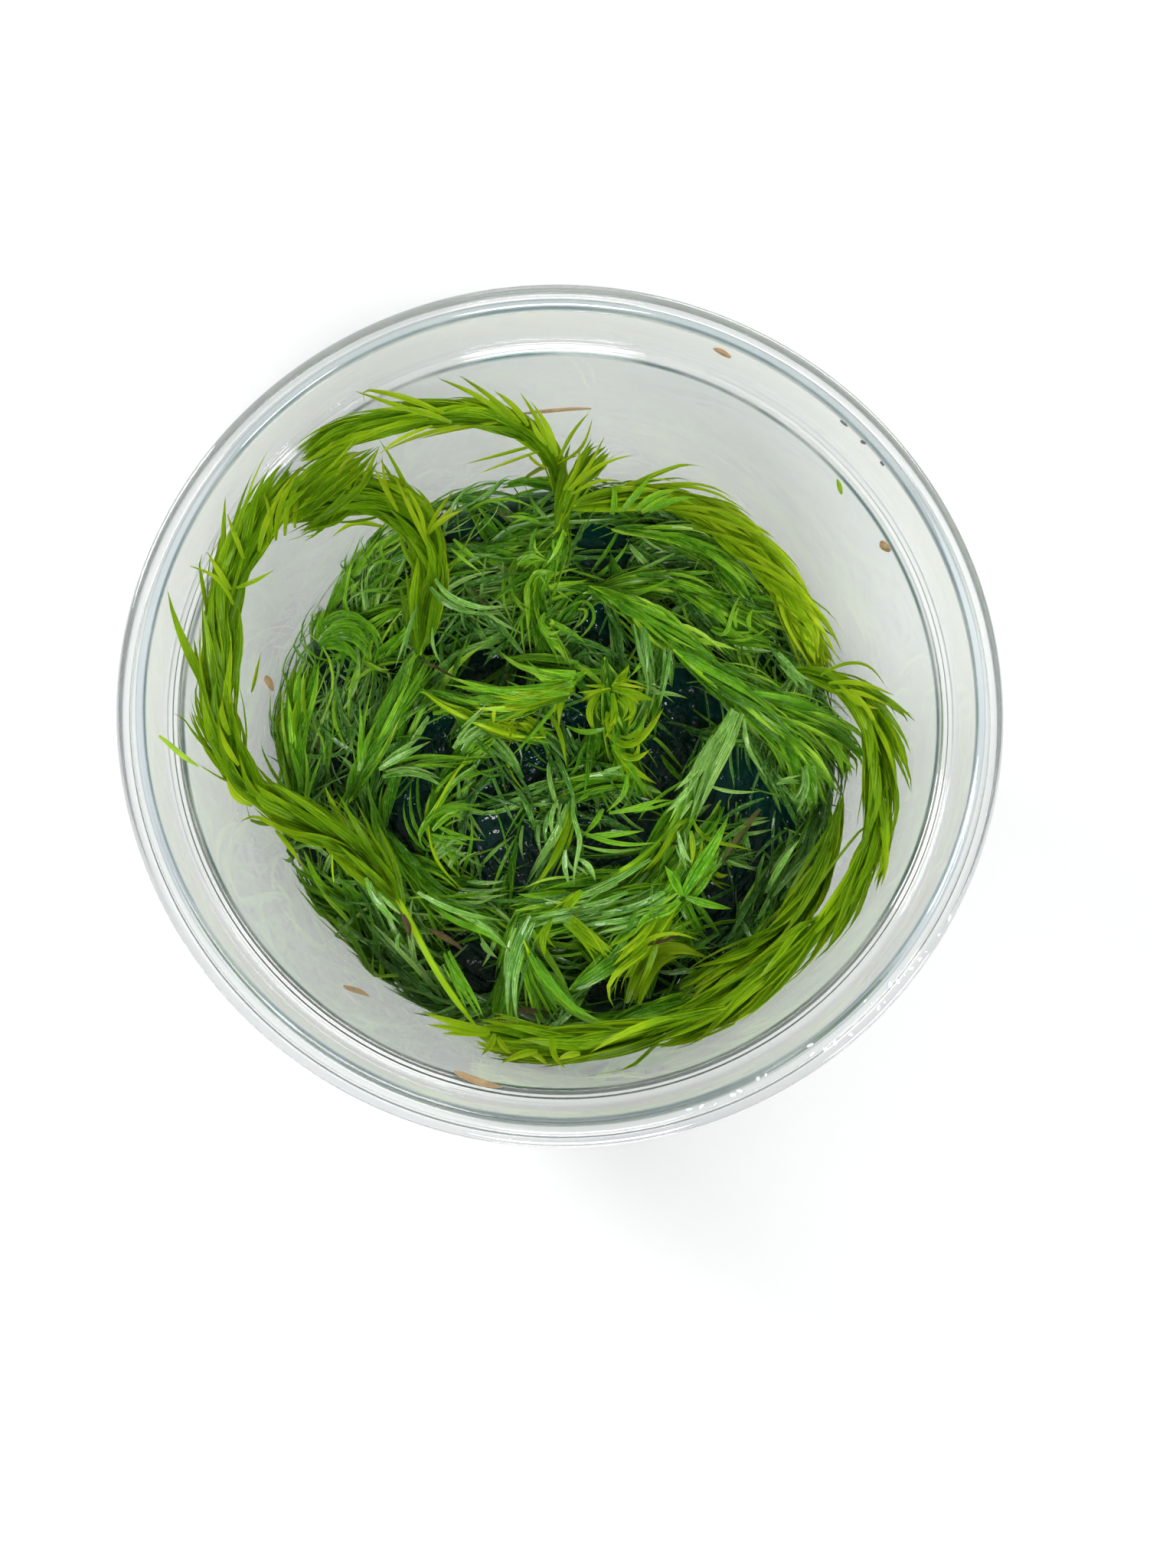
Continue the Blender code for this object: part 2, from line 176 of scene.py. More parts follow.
class Finish:  # a material that is built node by node
    def __init__(self, name):
        self.material = bpy.data.materials.new(name)
        self.material.use_nodes = True
        self.nodes = self.material.node_tree.nodes
        self.links = self.material.node_tree.links
        self.nodes.clear()

    def node(self, kind, settings=None, values=None, output=0):
        made = self.nodes.new(kind)
        for key, value in (settings or {}).items():
            if key == "stops":
                self.setStops(made.color_ramp, value)
            else:
                setattr(made, key, value)
        for key, value in (values or {}).items():
            if isinstance(value, Link):
                self.links.new(value.socket, made.inputs[key])
            else:
                made.inputs[key].default_value = value
        return Link(self, made.outputs[output]) if made.outputs else None

    def setStops(self, ramp, stops):
        while len(ramp.elements) < len(stops):
            ramp.elements.new(1.0)
        for element, (place, colour) in zip(ramp.elements, stops):
            element.position = place
            element.color = colour

    def attribute(self, name):
        return self.node("ShaderNodeAttribute", {"attribute_name": name}, output="Fac")

    def place(self):
        return self.node("ShaderNodeTexCoord", output="Object")

    def noise(self, scale, detail=2.0, rough=0.5, place=None):
        values = {"Vector": place or self.place(), "Scale": scale, "Detail": detail, "Roughness": rough}
        return self.node("ShaderNodeTexNoise", values=values)

    def ramp(self, share, stops):
        return self.node("ShaderNodeValToRGB", {"stops": stops}, {"Fac": share}, "Color")

    def mix(self, share, first, second):
        return self.node("ShaderNodeMix", {"data_type": "RGBA"}, {0: share, 6: first, 7: second}, 2)

    def bump(self, height, distance, strength=1.0):
        return self.node("ShaderNodeBump", values={"Height": height, "Distance": distance,
                                                   "Strength": strength})

    def principled(self, values):
        return self.node("ShaderNodeBsdfPrincipled", values=values)

    def close(self, shader):
        self.node("ShaderNodeOutputMaterial", values={"Surface": shader})
        return self.material


makeStudio()
print("camera, floor and lamps made")


# Shared by all pieces.  A piece's parts are its points in mm, its faces and its values at each point.

def addPiece(name, parts, material, replaced=(), smooth=False):
    points, faces, values = parts
    mesh = bpy.data.meshes.new(name)
    mesh.from_pydata((np.asarray(points) * mm).tolist(), [], faces)
    for key, numbers in values.items():
        mesh.attributes.new(key, "FLOAT", "POINT").data.foreach_set("value", numbers)
    if smooth:
        mesh.shade_smooth()
    mesh.materials.append(material)
    made = bpy.data.objects.new(name, mesh)
    bpy.context.scene.collection.objects.link(made)
    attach(made, "root")
    if replaced:
        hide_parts(*replaced)


def joinMeshes(parts):
    points = []
    faces = []
    values = {}
    first = 0
    for partPoints, partFaces, partValues in parts:
        points.append(partPoints)
        faces.extend(tuple(first + i for i in face) for face in partFaces)
        first += len(partPoints)
        for key, numbers in partValues.items():
            values.setdefault(key, []).append(numbers)
    return np.concatenate(points), faces, {key: np.concatenate(parts) for key, parts in values.items()}


def unit(vectors):
    return vectors / np.maximum(np.linalg.norm(vectors, axis=-1, keepdims=True), 1e-9)


def runAlong(points):  # how far along a line each of its points is
    return np.r_[0.0, np.cumsum(np.linalg.norm(np.diff(points, axis=0), axis=1))]


def aroundCircle(steps):
    return np.arange(steps) * 2 * math.pi / steps


def rounded(path, reach, steps):  # a path with each inner corner cut to a curve
    made = [path[0]]
    for before, corner, after in zip(path, path[1:], path[2:]):
        before, corner, after = (np.array(p, float) for p in (before, corner, after))
        back = before - corner
        ahead = after - corner
        cut = min(reach, np.linalg.norm(back) * 0.45, np.linalg.norm(ahead) * 0.45)
        start = corner + back / np.linalg.norm(back) * cut
        end = corner + ahead / np.linalg.norm(ahead) * cut
        for t in np.linspace(0, 1, steps + 1):
            made.append(tuple((1 - t) ** 2 * start + 2 * t * (1 - t) * corner + t ** 2 * end))
    return made + [path[-1]]


def turnedMesh(path, steps, values):  # a path turned round Z, and the path's values at each point
    points = []
    rings = []
    spread = []
    for (radius, height), value in zip(path, values):
        count = 1 if radius < 1e-6 else steps
        rings.append([len(points) + k % count for k in range(steps)])
        angles = aroundCircle(steps)[:count]
        points.extend((radius * math.cos(a), radius * math.sin(a), height) for a in angles)
        spread.extend([value] * count)
    faces = []
    for upper, lower in zip(rings, rings[1:]):
        for k in range(steps):
            after = (k + 1) % steps
            faces.append(list(dict.fromkeys((upper[k], lower[k], lower[after], upper[after]))))
    return points, faces, spread


def tubeFaces(rings, sides):  # the skin between rings of points
    faces = []
    for a in range(0, (rings - 1) * sides, sides):
        for side in range(sides):
            after = (side + 1) % sides
            faces.append((a + side, a + after, a + sides + after, a + sides + side))
    return faces


# Cup: sizes in mm

cup = {
    "steps": 256,
    "skirtRadius": cupHigh.x / mm,
    "height": cupHigh.z / mm,
    "skirtDrop": 3.8,
    "skirtWall": 0.9,
    "skirtEdge": 0.4,
    "lipRadius": 47.0,
    "lipDrop": 0.3,
    "seatInset": 1.1,       # from the lip to the seat
    "seatRidges": ((-0.9, 0.35), (-0.65, 0.65), (-0.4, 0.45), (-0.15, 0.95), (0.05, 0.9), (0.2, 1.5)),
    "ledgeRadius": 44.4,
    "ledgeHeight": 41.7,
    "draft": math.tan(math.radians(9.07)),
    "wall": 1.0,
    "floorTop": 1.8,
    "floorCorner": 1.2,
    "footRadius": 37.4,
    "footInner": 31.0,
    "footRecess": 0.5,
    "rounding": 0.35,
    "roundSteps": 3,
    "colour": (0.80, 0.825, 0.795, 1.0),
    "bandStart": 38.6,      # height up the wall
    "bandEnd": 46.0,        # height on the skirt
    "paintedBands": (              # painted shade and highlights over the cup's tint, for the light and dark lines and bands the clear rim shows: near-black lines at the ledge and lip, darker bluish bands on lip and skirt, a lighter band at the seat's foot. Each: distance from the axis, height and colour, from the wall out to the skirt
        (43.9, 38.6, (0.80, 0.825, 0.795, 1)),
        (44.27, 41.05, (0.78, 0.82, 0.80, 1)),
        (44.36, 41.45, (0.02, 0.05, 0.05, 1)),
        (44.44, 41.78, (0.02, 0.05, 0.05, 1)),
        (44.65, 42.02, (0.82, 0.85, 0.83, 1)),
        (46.1, 43.1, (0.88, 0.90, 0.88, 1)),
        (46.3, 44.2, (0.83, 0.835, 0.80, 1)),
        (46.85, 46.9, (0.83, 0.835, 0.80, 1)),
        (46.95, 47.4, (0.08, 0.14, 0.18, 1)),
        (46.98, 47.6, (0.08, 0.14, 0.18, 1)),
        (47.12, 47.8, (0.56, 0.66, 0.71, 1)),
        (47.55, 48.0, (0.58, 0.66, 0.70, 1)),
        (47.68, 48.0, (0.30, 0.36, 0.39, 1)),
        (47.8, 48.0, (0.82, 0.85, 0.845, 1)),
        (48.8, 48.0, (0.84, 0.87, 0.86, 1)),
        (49.1, 48.0, (0.72, 0.74, 0.76, 1)),
        (50.0, 47.2, (0.70, 0.72, 0.735, 1)),
        (50.0, 46.0, (0.80, 0.825, 0.795, 1)),
    ),
    "ior": 1.45,
    "haze": 0.05,
    "clear": 0.94,
    "coat": 0.6,
    "waves": 220.0,         # how fine, per metre
    # a noise that breaks up the painted bands, how fine per metre
    "paintedBandNoise": 90.0,
    "paintedBandLift": 0.42,      # how much of the painted bands shows where the noise is zero
}


def wallRadius(height):  # inside of the plain tapered wall
    return cup["ledgeRadius"] - (cup["ledgeHeight"] - height) * cup["draft"]


def cupInside():
    ledge = cup["ledgeHeight"]
    floor = cup["floorTop"]
    corner = cup["floorCorner"]
    seat = cup["lipRadius"] - cup["seatInset"]
    return [
        (0.0, floor),
        (wallRadius(floor) - corner, floor),
        (wallRadius(floor + corner), floor + corner),
        (wallRadius(cup["bandStart"]), cup["bandStart"]),
        (cup["ledgeRadius"], ledge),
        (cup["ledgeRadius"] + 0.3, ledge + 0.3),
        *((seat + out, ledge + up) for out, up in cup["seatRidges"]),
        (cup["lipRadius"], cup["height"] - cup["lipDrop"]),
    ]


def cupOutside():
    rim = cup["skirtRadius"]
    top = cup["height"]
    ledge = cup["ledgeHeight"]
    wall = cup["wall"]
    edge = cup["skirtEdge"]
    seat = cup["lipRadius"] - cup["seatInset"]
    inner = rim - cup["skirtWall"]
    return [
        (cup["lipRadius"] + 0.7, top),
        (rim - edge, top),
        (rim, top - edge),
        (rim, cup["bandEnd"]),
        (rim, top - cup["skirtDrop"]),
        (inner, top - cup["skirtDrop"]),
        (inner - edge, top - 1.7),
        (cup["lipRadius"] + wall - 0.1, top - 1.9),
        (seat + wall, ledge + 0.2),
        (seat + 0.4, ledge - 0.9),
        (cup["ledgeRadius"] + wall, ledge - 1.3),
        (wallRadius(2.0) + wall, 2.0),
        (cup["footRadius"] + 1.0, 0.7),
        (cup["footRadius"], 0.0),
        (cup["footInner"], 0.0),
        (cup["footInner"] - 0.6, cup["footRecess"]),
        (0.0, cup["footRecess"]),
    ]


def bandPlaces(path):  # how far along the cup's profile its points and its painted bands are, from 0 to 1
    run = runAlong(path)
    fine = np.linspace(0, run[-1], 8000)
    radii = np.interp(fine, run, path[:, 0])
    heights = np.interp(fine, run, path[:, 1])
    places = np.array([fine[np.hypot(radii - r, heights - z).argmin()] for r, z, colour in cup["paintedBands"]])
    start = places[0]
    reach = places[-1] - start
    return np.clip((run - start) / reach, 0, 1), (places - start) / reach


def makeCup():
    path = np.array(rounded(cupInside() + cupOutside(), cup["rounding"], cup["roundSteps"]))
    along, places = bandPlaces(path)
    clear = Finish("clearCup")
    waves = clear.noise(cup["waves"], 2.0)
    paintedBandNoise = clear.noise(cup["paintedBandNoise"], 3.0)
    stops = [(place, band[2]) for place, band in zip(places, cup["paintedBands"])]
    # painted shade and highlights: the bands' colours by place along the profile
    paintedBanding = clear.ramp(clear.attribute("ring"), stops)
    clear.close(clear.principled({
        # the painted shade and highlights of the bands, broken up by noise, over the cup's tint
        "Base Color": clear.mix(cup["paintedBandLift"] + paintedBandNoise, cup["colour"], paintedBanding),
        "Roughness": cup["haze"] + waves * 0.04,
        "IOR": cup["ior"],
        "Transmission Weight": cup["clear"],
        "Coat Weight": cup["coat"],
        "Coat Roughness": 0.03,
        "Normal": clear.bump(waves, 0.00002, 0.3),
    }))
    points, faces, rings = turnedMesh(path, cup["steps"], along)
    addPiece("cup_clear", (points, faces, {"ring": rings}), clear.material, ("cup",), True)


def insideRadius(heights):  # of the cup at any height
    path = np.array(cupInside()[1:])
    rising = np.maximum.accumulate(path[:, 1]) + np.arange(len(path)) * 1e-6
    return np.interp(heights, rising, path[:, 0])


makeCup()


drops = {               # water on the cup: places in pixels of the picture, and sizes in mm
    "rim": ((1162, 1286), (1181, 1274), (1190, 1265), (1201, 1253), (1130, 1307), (1147, 1316),
            (1155, 1309), (1111, 1351), (1058, 1365), (1060, 1377), (1000, 1404), (990, 1409),
            (966, 1425), (957, 1430), (934, 1442), (916, 1445), (1172, 1282), (1210, 1243),
            (1226, 1221), (1240, 1199), (1138, 1311), (1090, 1362), (1078, 1370), (900, 1449)),
    "seat": ((1104, 551), (1133, 573), (1157, 602)),
    "rimHeight": 48.0,
    "seatHeight": 46.9,
    "size": {"rim": (0.12, 0.38), "seat": (0.34, 0.52)},
    "flatness": 0.40,
    "lift": 0.04,
    "wobble": 0.28,
    "slim": (0.5, 0.9),     # width as a share of the length
    # near white: through the drops' diffuse share this paints them bright, a painted highlight beside the
    # glints they really reflect
    "colour": (0.90, 0.93, 0.93, 1.0),
    # painted shade: the grey the seat drops are given, for how dark they look
    "paintedDropShade": (0.24, 0.27, 0.29, 1.0),
    "sides": 12,
    "rings": 4,
}


def makeDrops():
    water = Finish("water")
    ripple = water.noise(700.0, 2.0)
    water.close(water.principled({
        # painted shade on the seat drops, a painted highlight in the near-white of the others
        "Base Color": water.mix(water.attribute("dull"), drops["colour"], drops["paintedDropShade"]),
        "Roughness": 0.02 + ripple * 0.04,
        "IOR": 1.33,
        "Transmission Weight": 0.65,
        "Normal": water.bump(ripple, 0.0001, 0.6),
    }))
    rng = np.random.default_rng(41)
    sides = drops["sides"]
    angles = aroundCircle(sides)
    turns = (np.arange(drops["rings"]) * math.pi / 2 / drops["rings"])[:, None, None]
    last = drops["rings"] * sides
    faces = tubeFaces(drops["rings"], sides)
    faces += [(last - sides + side, last - sides + (side + 1) % sides, last) for side in range(sides)]
    faces.append(tuple(range(sides))[::-1])
    made = []
    for kind in ("rim", "seat"):
        for x, y in drops[kind]:
            middle = seenAt(x, y, drops[kind + "Height"])
            outward = unit(middle * (1, 1, 0))
            along = np.array((-outward[1], outward[0], 0.0))
            normal = np.array((0.0, 0.0, 1.0)) if kind == "rim" else -outward
            if kind == "seat":
                middle = outward * (insideRadius(middle[2]) - drops["lift"]) + (0, 0, middle[2])
            long = rng.uniform(*drops["size"][kind])
            wide = long * rng.uniform(*drops["slim"])
            spots = np.cos(angles)[:, None] * along * long
            spots = spots + np.sin(angles)[:, None] * np.cross(normal, along) * wide
            spots = spots * (1 + drops["wobble"] * np.sin(2 * angles + len(made) * (last + 1)))[:, None]
            raised = normal * (drops["lift"] + np.sin(turns) * wide * drops["flatness"])
            top = middle + normal * (drops["lift"] + wide * drops["flatness"])
            points = np.r_[(middle + spots * np.cos(turns) + raised).reshape(-1, 3), top[None]]
            made.append((points, faces, {"dull": np.full(last + 1, float(kind == "seat"))}))
    addPiece("water_drops", joinMeshes(made), water.material, (), True)


makeDrops()
print("cup made")


# Gel: sizes in mm

gel = {
    "steps": 256,
    "rings": 150,
    "top": gelHigh.z / mm - 0.5,
    "meniscusRise": 0.5,
    "meniscusWidth": 1.25,
    "edgeFade": 1.5,        # how soon the painted edge light ends inwards
    "gap": 0.05,            # to the cup
    "footCorner": (1.3, 1.2),
    "lumps": ((0.3, 1.0, 0.5), (1.4, 1.7, 0.3), (2.3, 0.55, 0.35)),     # turn, size and share of each wave
    "lumpSize": 0.9,
    "lumpHeight": 0.60,
    "colour": (0.0012, 0.0150, 0.0120, 1.0),
    # painted light: a lighter teal where the gel climbs the wall, for the band of light the meniscus shows
    "paintedEdgeLight": (0.100, 0.190, 0.100, 1.0),
}


def gelHeights(x, y):  # rounded lumps all over the top
    size = gel["lumpSize"]
    height = np.zeros_like(x)
    for turn, scale, share in gel["lumps"]:
        across = (x * math.cos(turn) + y * math.sin(turn)) / (size * scale)
        along = (y * math.cos(turn) - x * math.sin(turn)) / (size * scale)
        bend = np.sin(along * 1.3 + 0.7 * np.sin(across * 0.9))
        height += share * np.abs(np.sin(across * 2.1 + bend) * np.cos(along * 1.9 + bend))
    return height * gel["lumpHeight"]


def meniscus(radii):  # how far the top climbs towards the wall, from 0 to 1
    wall = wallRadius(gel["top"] + gel["meniscusRise"]) - gel["gap"]
    return np.exp((radii - wall) / gel["meniscusWidth"])


def makeGel():
    dark = Finish("darkGel")
    cloud = dark.noise(260.0, 3.0)
    dark.close(dark.principled({
        # painted light along the meniscus, by the rim attribute
        "Base Color": dark.mix(dark.attribute("rim"), gel["colour"], gel["paintedEdgeLight"]),
        "Roughness": 0.04 + cloud * 0.12,
        "IOR": 1.33,
        "Normal": dark.bump(cloud + dark.noise(1300.0, 2.0) * 0.5, 0.0005, 0.7),
    }))
    top = gel["top"]
    foot = gelLow.z / mm
    inward, upward = gel["footCorner"]
    edge, corner = (wallRadius(height) - gel["gap"] for height in (top + gel["meniscusRise"], foot + upward))
    radii = np.linspace(0, edge, gel["rings"])
    side = [(corner, foot + upward), (wallRadius(foot) - inward, foot), (0, foot)]
    rims = np.r_[meniscus(radii) ** gel["edgeFade"], np.zeros(len(side))]
    points, faces, rims = turnedMesh([(radius, top) for radius in radii] + side, gel["steps"], rims)
    x, y, z = np.array(points).T
    climb = meniscus(np.hypot(x, y))
    z = np.where(z == top, top + gelHeights(x, y) * (1 - climb) + gel["meniscusRise"] * climb, z)
    parts = (np.c_[x, y, z], faces, {"rim": rims})
    addPiece("gel_plug", parts, dark.material, ("gel",), True)


makeGel()
print("gel made")


# Shoots: where they lie, lowest first, each from its cut end to its tip.  The number is the radius
# of the foliage.  The points are (angle round the cup in degrees, distance from its axis, height).

wetShoots = (
    ("shoot_low_left_outer", 1.9, ((159, 30.5, 13), (186, 35, 13), (203, 35.5, 13))),
    ("shoot_low_left_inner", 1.9, ((147, 22.5, 13), (179, 25, 13), (201, 30, 13))),
    ("shoot_low_back_left", 1.9, ((88, 34.5, 13), (117, 29.5, 13), (142, 27, 13))),
    ("shoot_low_centre_left", 1.7, ((120, 29, 13), (116, 20.5, 13), (101, 19, 13), (86, 18, 13))),
    ("shoot_low_front_left", 2.0, ((207, 36, 13), (225, 37.5, 13), (251, 37.5, 13))),
    ("shoot_low_front_inner", 1.9, ((210, 31, 13), (231, 33, 13), (251, 33.5, 13))),
    ("shoot_low_front", 1.9, ((254, 35.5, 13), (274, 36.5, 13), (284, 36.5, 13))),
    ("shoot_low_front_right", 2.0, ((290, 36.5, 13), (307, 37.5, 13), (326, 37, 13))),
    ("shoot_low_right", 2.0, ((40, 39, 13), (9, 36.5, 13), (347, 35.5, 13))),
    ("shoot_low_back_right", 2.0, ((73, 33, 13), (53, 35, 13), (33, 34, 13))),
    ("shoot_low_centre", 1.5, ((213, 14.5, 13), (279, 5, 13), (328, 8.5, 13))),
    ("shoot_low_fork", 1.5, ((285, 7.5, 13), (273, 12.5, 13), (253, 26.5, 13))),
    ("shoot_low_right_inner", 1.6, ((13, 24.5, 13), (351, 29.5, 13), (343, 32, 13))),
    ("shoot_low_pale", 1.7, ((341, 37.5, 13), (334, 34.5, 13), (308, 35, 13))),
    ("shoot_low_left_middle", 1.8, ((136, 20, 13), (190, 23, 13), (201, 25, 13))),
    ("shoot_low_inner_front", 1.6, ((321, 20, 13), (304, 18, 13), (261, 12.5, 13))),
    ("shoot_low_back", 1.9, ((100, 28, 13), (77, 29, 13), (68, 29, 13))),
)
innerShoots = (
    ("shoot_left_tuft", 2.0, ((135, 28.5, 17), (142, 30.5, 17), (155, 34.5, 17), (156, 37, 17))),
    ("shoot_left_curl", 1.8, ((233, 23, 17), (212, 21.5, 17), (170, 10, 17))),
    ("shoot_left_bundle", 2.0, ((196, 30, 17), (163, 22.5, 17), (148, 22, 17))),
    ("shoot_left_fringe", 2.0, ((198, 36.5, 17), (179, 36.5, 17), (162, 36, 17))),
    ("shoot_front_left", 1.9, ((206, 27, 17), (236, 26.5, 17), (249, 27, 17), (257, 29.5, 17))),
    ("shoot_back_column", 2.1, ((88, 33.5, 17), (91, 28.5, 17), (98, 24, 17), (86, 10, 17))),
    ("shoot_bright_left", 2.0, ((162, 20, 17), (165, 10, 17), (143, 2, 17))),
    ("shoot_right_fan", 2.0, ((82, 22, 17), (59, 27.5, 17), (26, 32, 17))),
    ("shoot_pale_centre", 1.7, ((56, 23, 17), (33, 14.5, 17), (14, 10, 17))),
    ("shoot_front_arch", 1.9, ((288, 36.5, 17), (295, 31.5, 17), (304, 35.5, 17))),
    ("shoot_front_drop", 1.8, ((258, 22, 17), (256, 27, 17), (259, 38.5, 17))),
    ("shoot_back_right", 2.0, ((77, 32, 17), (58, 34.5, 17), (37, 34, 17))),
    ("shoot_front_cross", 1.8, ((268, 24.5, 17), (277, 27, 17), (283, 31.5, 17))),
    ("shoot_centre_spray", 1.9, ((63, 13, 20), (340, 10.5, 20), (332, 14, 20))),
    ("shoot_left_spray", 1.9, ((70, 9.5, 20), (133, 6.5, 20), (155, 15, 20))),
    ("shoot_diagonal", 2.5, ((80, 22, 20), (50, 20.5, 20), (19, 24.5, 20), (4, 34.5, 20),
                             (359, 38, 20), (352, 40.5, 20))),
    ("shoot_diagonal_inner", 2.2, ((37, 18.5, 22), (19, 21, 22), (1, 28.5, 18), (353, 32, 17),
                                   (343, 34.5, 17))),
    ("shoot_inner_front", 2.2, ((4, 21.5, 20), (301, 19.5, 20), (254, 23.5, 20))),
    ("shoot_inner_pair", 2.1, ((306, 24.5, 20), (280, 24, 20), (258, 25.5, 20))),
    ("shoot_long_strand", 2.0, ((259, 25.5, 20), (262, 30, 20), (274, 37, 20), (298, 40.5, 20))),
    ("shoot_star", 2.1, ((271, 33.5, 20), (289, 28.5, 20), (319, 25, 20))),
)
leaningShoots = (
    ("shoot_loop_inner_right", 2.4, ((347, 38, 24), (328, 39, 24), (295, 37.5, 24))),
    ("shoot_edge_right", 2.5, ((88, 33, 20), (72, 36.5, 19), (55, 37.8, 19), (43, 38, 19),
                               (30, 37.5, 20), (15, 36.5, 22))),
    ("shoot_loop_right", 2.7, ((16, 32, 24), (3, 38, 32), (354, 39, 34), (335, 41, 35),
                               (326, 41.5, 34), (317, 41, 34), (307, 41, 33), (286, 40.5, 31))),
    ("shoot_loop_front", 2.5, ((298, 40.5, 30), (280, 40.5, 31), (255, 39.5, 31))),
    ("shoot_arc_left", 3.4, ((150, 22, 18), (137, 25.5, 20), (128, 29.0, 23.5), (126, 33.5, 29),
                             (131.5, 37.5, 35), (138.5, 39.8, 37.5), (146, 40.3, 39))),
    ("shoot_loop_left", 2.4, ((255, 39.5, 28), (247, 36, 28), (235, 32, 28), (222, 30, 28),
                              (210, 31, 28), (200, 35, 27), (194, 38.5, 28), (190.5, 40.2, 32),
                              (186, 40.4, 36), (181, 40.7, 38.5), (173.5, 41, 39.7),
                              (167.5, 41.3, 41), (160, 41.8, 42.4), (151.5, 42, 42.2),
                              (143.3, 42, 41.6), (138, 42, 41))),
    ("shoot_arc_back", 1.9, ((89, 27.5, 20), (90, 32.3, 28), (93, 35.3, 33), (98.5, 37.1, 37),
                             (109.5, 38.7, 41), (120, 40.4, 42), (130.5, 42.4, 42),
                             (136.5, 42.5, 42.5))),
    ("shoot_tuft_back", 1.8, ((92, 25, 24), (85, 33, 28), (81, 36, 30))),
)
laying = {
    "ringSpacing": 4.0,
    "fineSteps": 4,
    "clearance": 0.4,
    "stemEnd": 0.15,
    "tipStart": 0.8,
    "baseFullness": 0.6,
    "tipFullness": 0.3,
    "bend": 0.03,
    "softness": 0.6,
}


def smoothLine(points, count):  # a natural cubic spline, read at evenly spaced places
    points = np.asarray(points, float)
    knots = runAlong(points)
    spans = np.diff(knots)
    last = len(points) - 1
    system = np.eye(last + 1)
    target = np.zeros_like(points)
    for i in range(1, last):
        system[i, i - 1:i + 2] = (spans[i - 1], 2 * (spans[i - 1] + spans[i]), spans[i])
        riseAfter = (points[i + 1] - points[i]) / spans[i]
        riseBefore = (points[i] - points[i - 1]) / spans[i - 1]
        target[i] = 6 * (riseAfter - riseBefore)
    curvature = np.linalg.solve(system, target)
    places = np.linspace(0.0, knots[-1], count)
    left = np.clip(np.searchsorted(knots, places, side="right") - 1, 0, last - 1)
    span = spans[left][:, None]
    after = (places - knots[left])[:, None] / span
    before = 1.0 - after
    line = before * points[left] + after * points[left + 1]
    bow = (before ** 3 - before) * curvature[left] + (after ** 3 - after) * curvature[left + 1]
    return line + bow * span ** 2 / 6, knots[-1]


def fullness(share):  # width of the foliage along a shoot
    base = laying["baseFullness"]
    start = laying["tipStart"]
    widening = base + (1 - base) * share / laying["stemEnd"]
    narrowing = 1 - (1 - laying["tipFullness"]) * (share - start) / (1 - start)
    return np.where(share < laying["stemEnd"], widening, np.where(share > start, narrowing, 1.0))


def betweenRings(values, count):
    places = np.linspace(0, count - 1, (count - 1) * laying["fineSteps"] + 1)
    left = np.minimum(places.astype(int), count - 2)
    share = places - left
    if values.ndim == 2:
        share = share[:, None]
    return values[left] * (1 - share) + values[left + 1] * share


def layShoot(radius, route, laid):  # on the gel, inside the wall, over the shoots already there
    points = [(r * math.cos(math.radians(a)), r * math.sin(math.radians(a)), z) for a, r, z in route]
    length = smoothLine(points, 2)[1]
    count = max(5, round(length / laying["ringSpacing"]) + 1)
    rings = smoothLine(points, count)[0]
    radii = radius * fullness(np.linspace(0, 1, count))
    wanted = np.maximum(rings[:, 2], gel["top"] + radii + laying["clearance"])
    inside = wallRadius(wanted) - (radii + laying["clearance"]) * math.hypot(1, cup["draft"])
    rings[:, :2] *= np.minimum(1.0, inside / np.hypot(rings[:, 0], rings[:, 1]))[:, None]
    places = betweenRings(rings[:, :2], count)
    placeRadii = betweenRings(radii, count)
    support = np.full(len(places), -np.inf)
    if len(laid):
        flat = ((places[:, None, :] - laid[None, :, :2]) ** 2).sum(axis=2)
        reach = placeRadii[:, None] + laid[None, :, 3] + laying["clearance"]
        over = laid[None, :, 2] + np.sqrt(np.maximum(reach ** 2 - flat, 0.0))
        support = np.where(flat < reach ** 2, over, -np.inf).max(axis=1)
    fine = laying["fineSteps"]
    under = [support[max(0, (i - 1) * fine):(i + 1) * fine + 1].max() for i in range(count)]
    along = np.linspace(0, length, count)
    falls = laying["bend"] * (along[:, None] - along[None, :]) ** 2
    carried = (np.array(under)[None, :] - falls).max(axis=1)
    higher = np.maximum(wanted, carried)
    apart = np.where(np.isfinite(carried), np.abs(wanted - carried), np.inf)
    rings[:, 2] = higher + laying["softness"] * np.log1p(np.exp(-apart / laying["softness"]))
    nowLaid = np.c_[places, betweenRings(rings[:, 2], count), placeRadii]
    return rings, radii, np.r_[laid, nowLaid]


def layShoots():
    laid = np.zeros((0, 4))
    lines = {}
    groups = ((wetShoots, "leaf_wet"), (innerShoots, "leaf_deep"), (leaningShoots, "leaf_bright"))
    for shoots, slot in groups:
        for name, radius, route in shoots:
            rings, radii, laid = layShoot(radius, route, laid)
            lines[name] = (rings, radii, slot)
    return lines, laid


shootLines, laidDown = layShoots()


# Leaves: lengths in mm

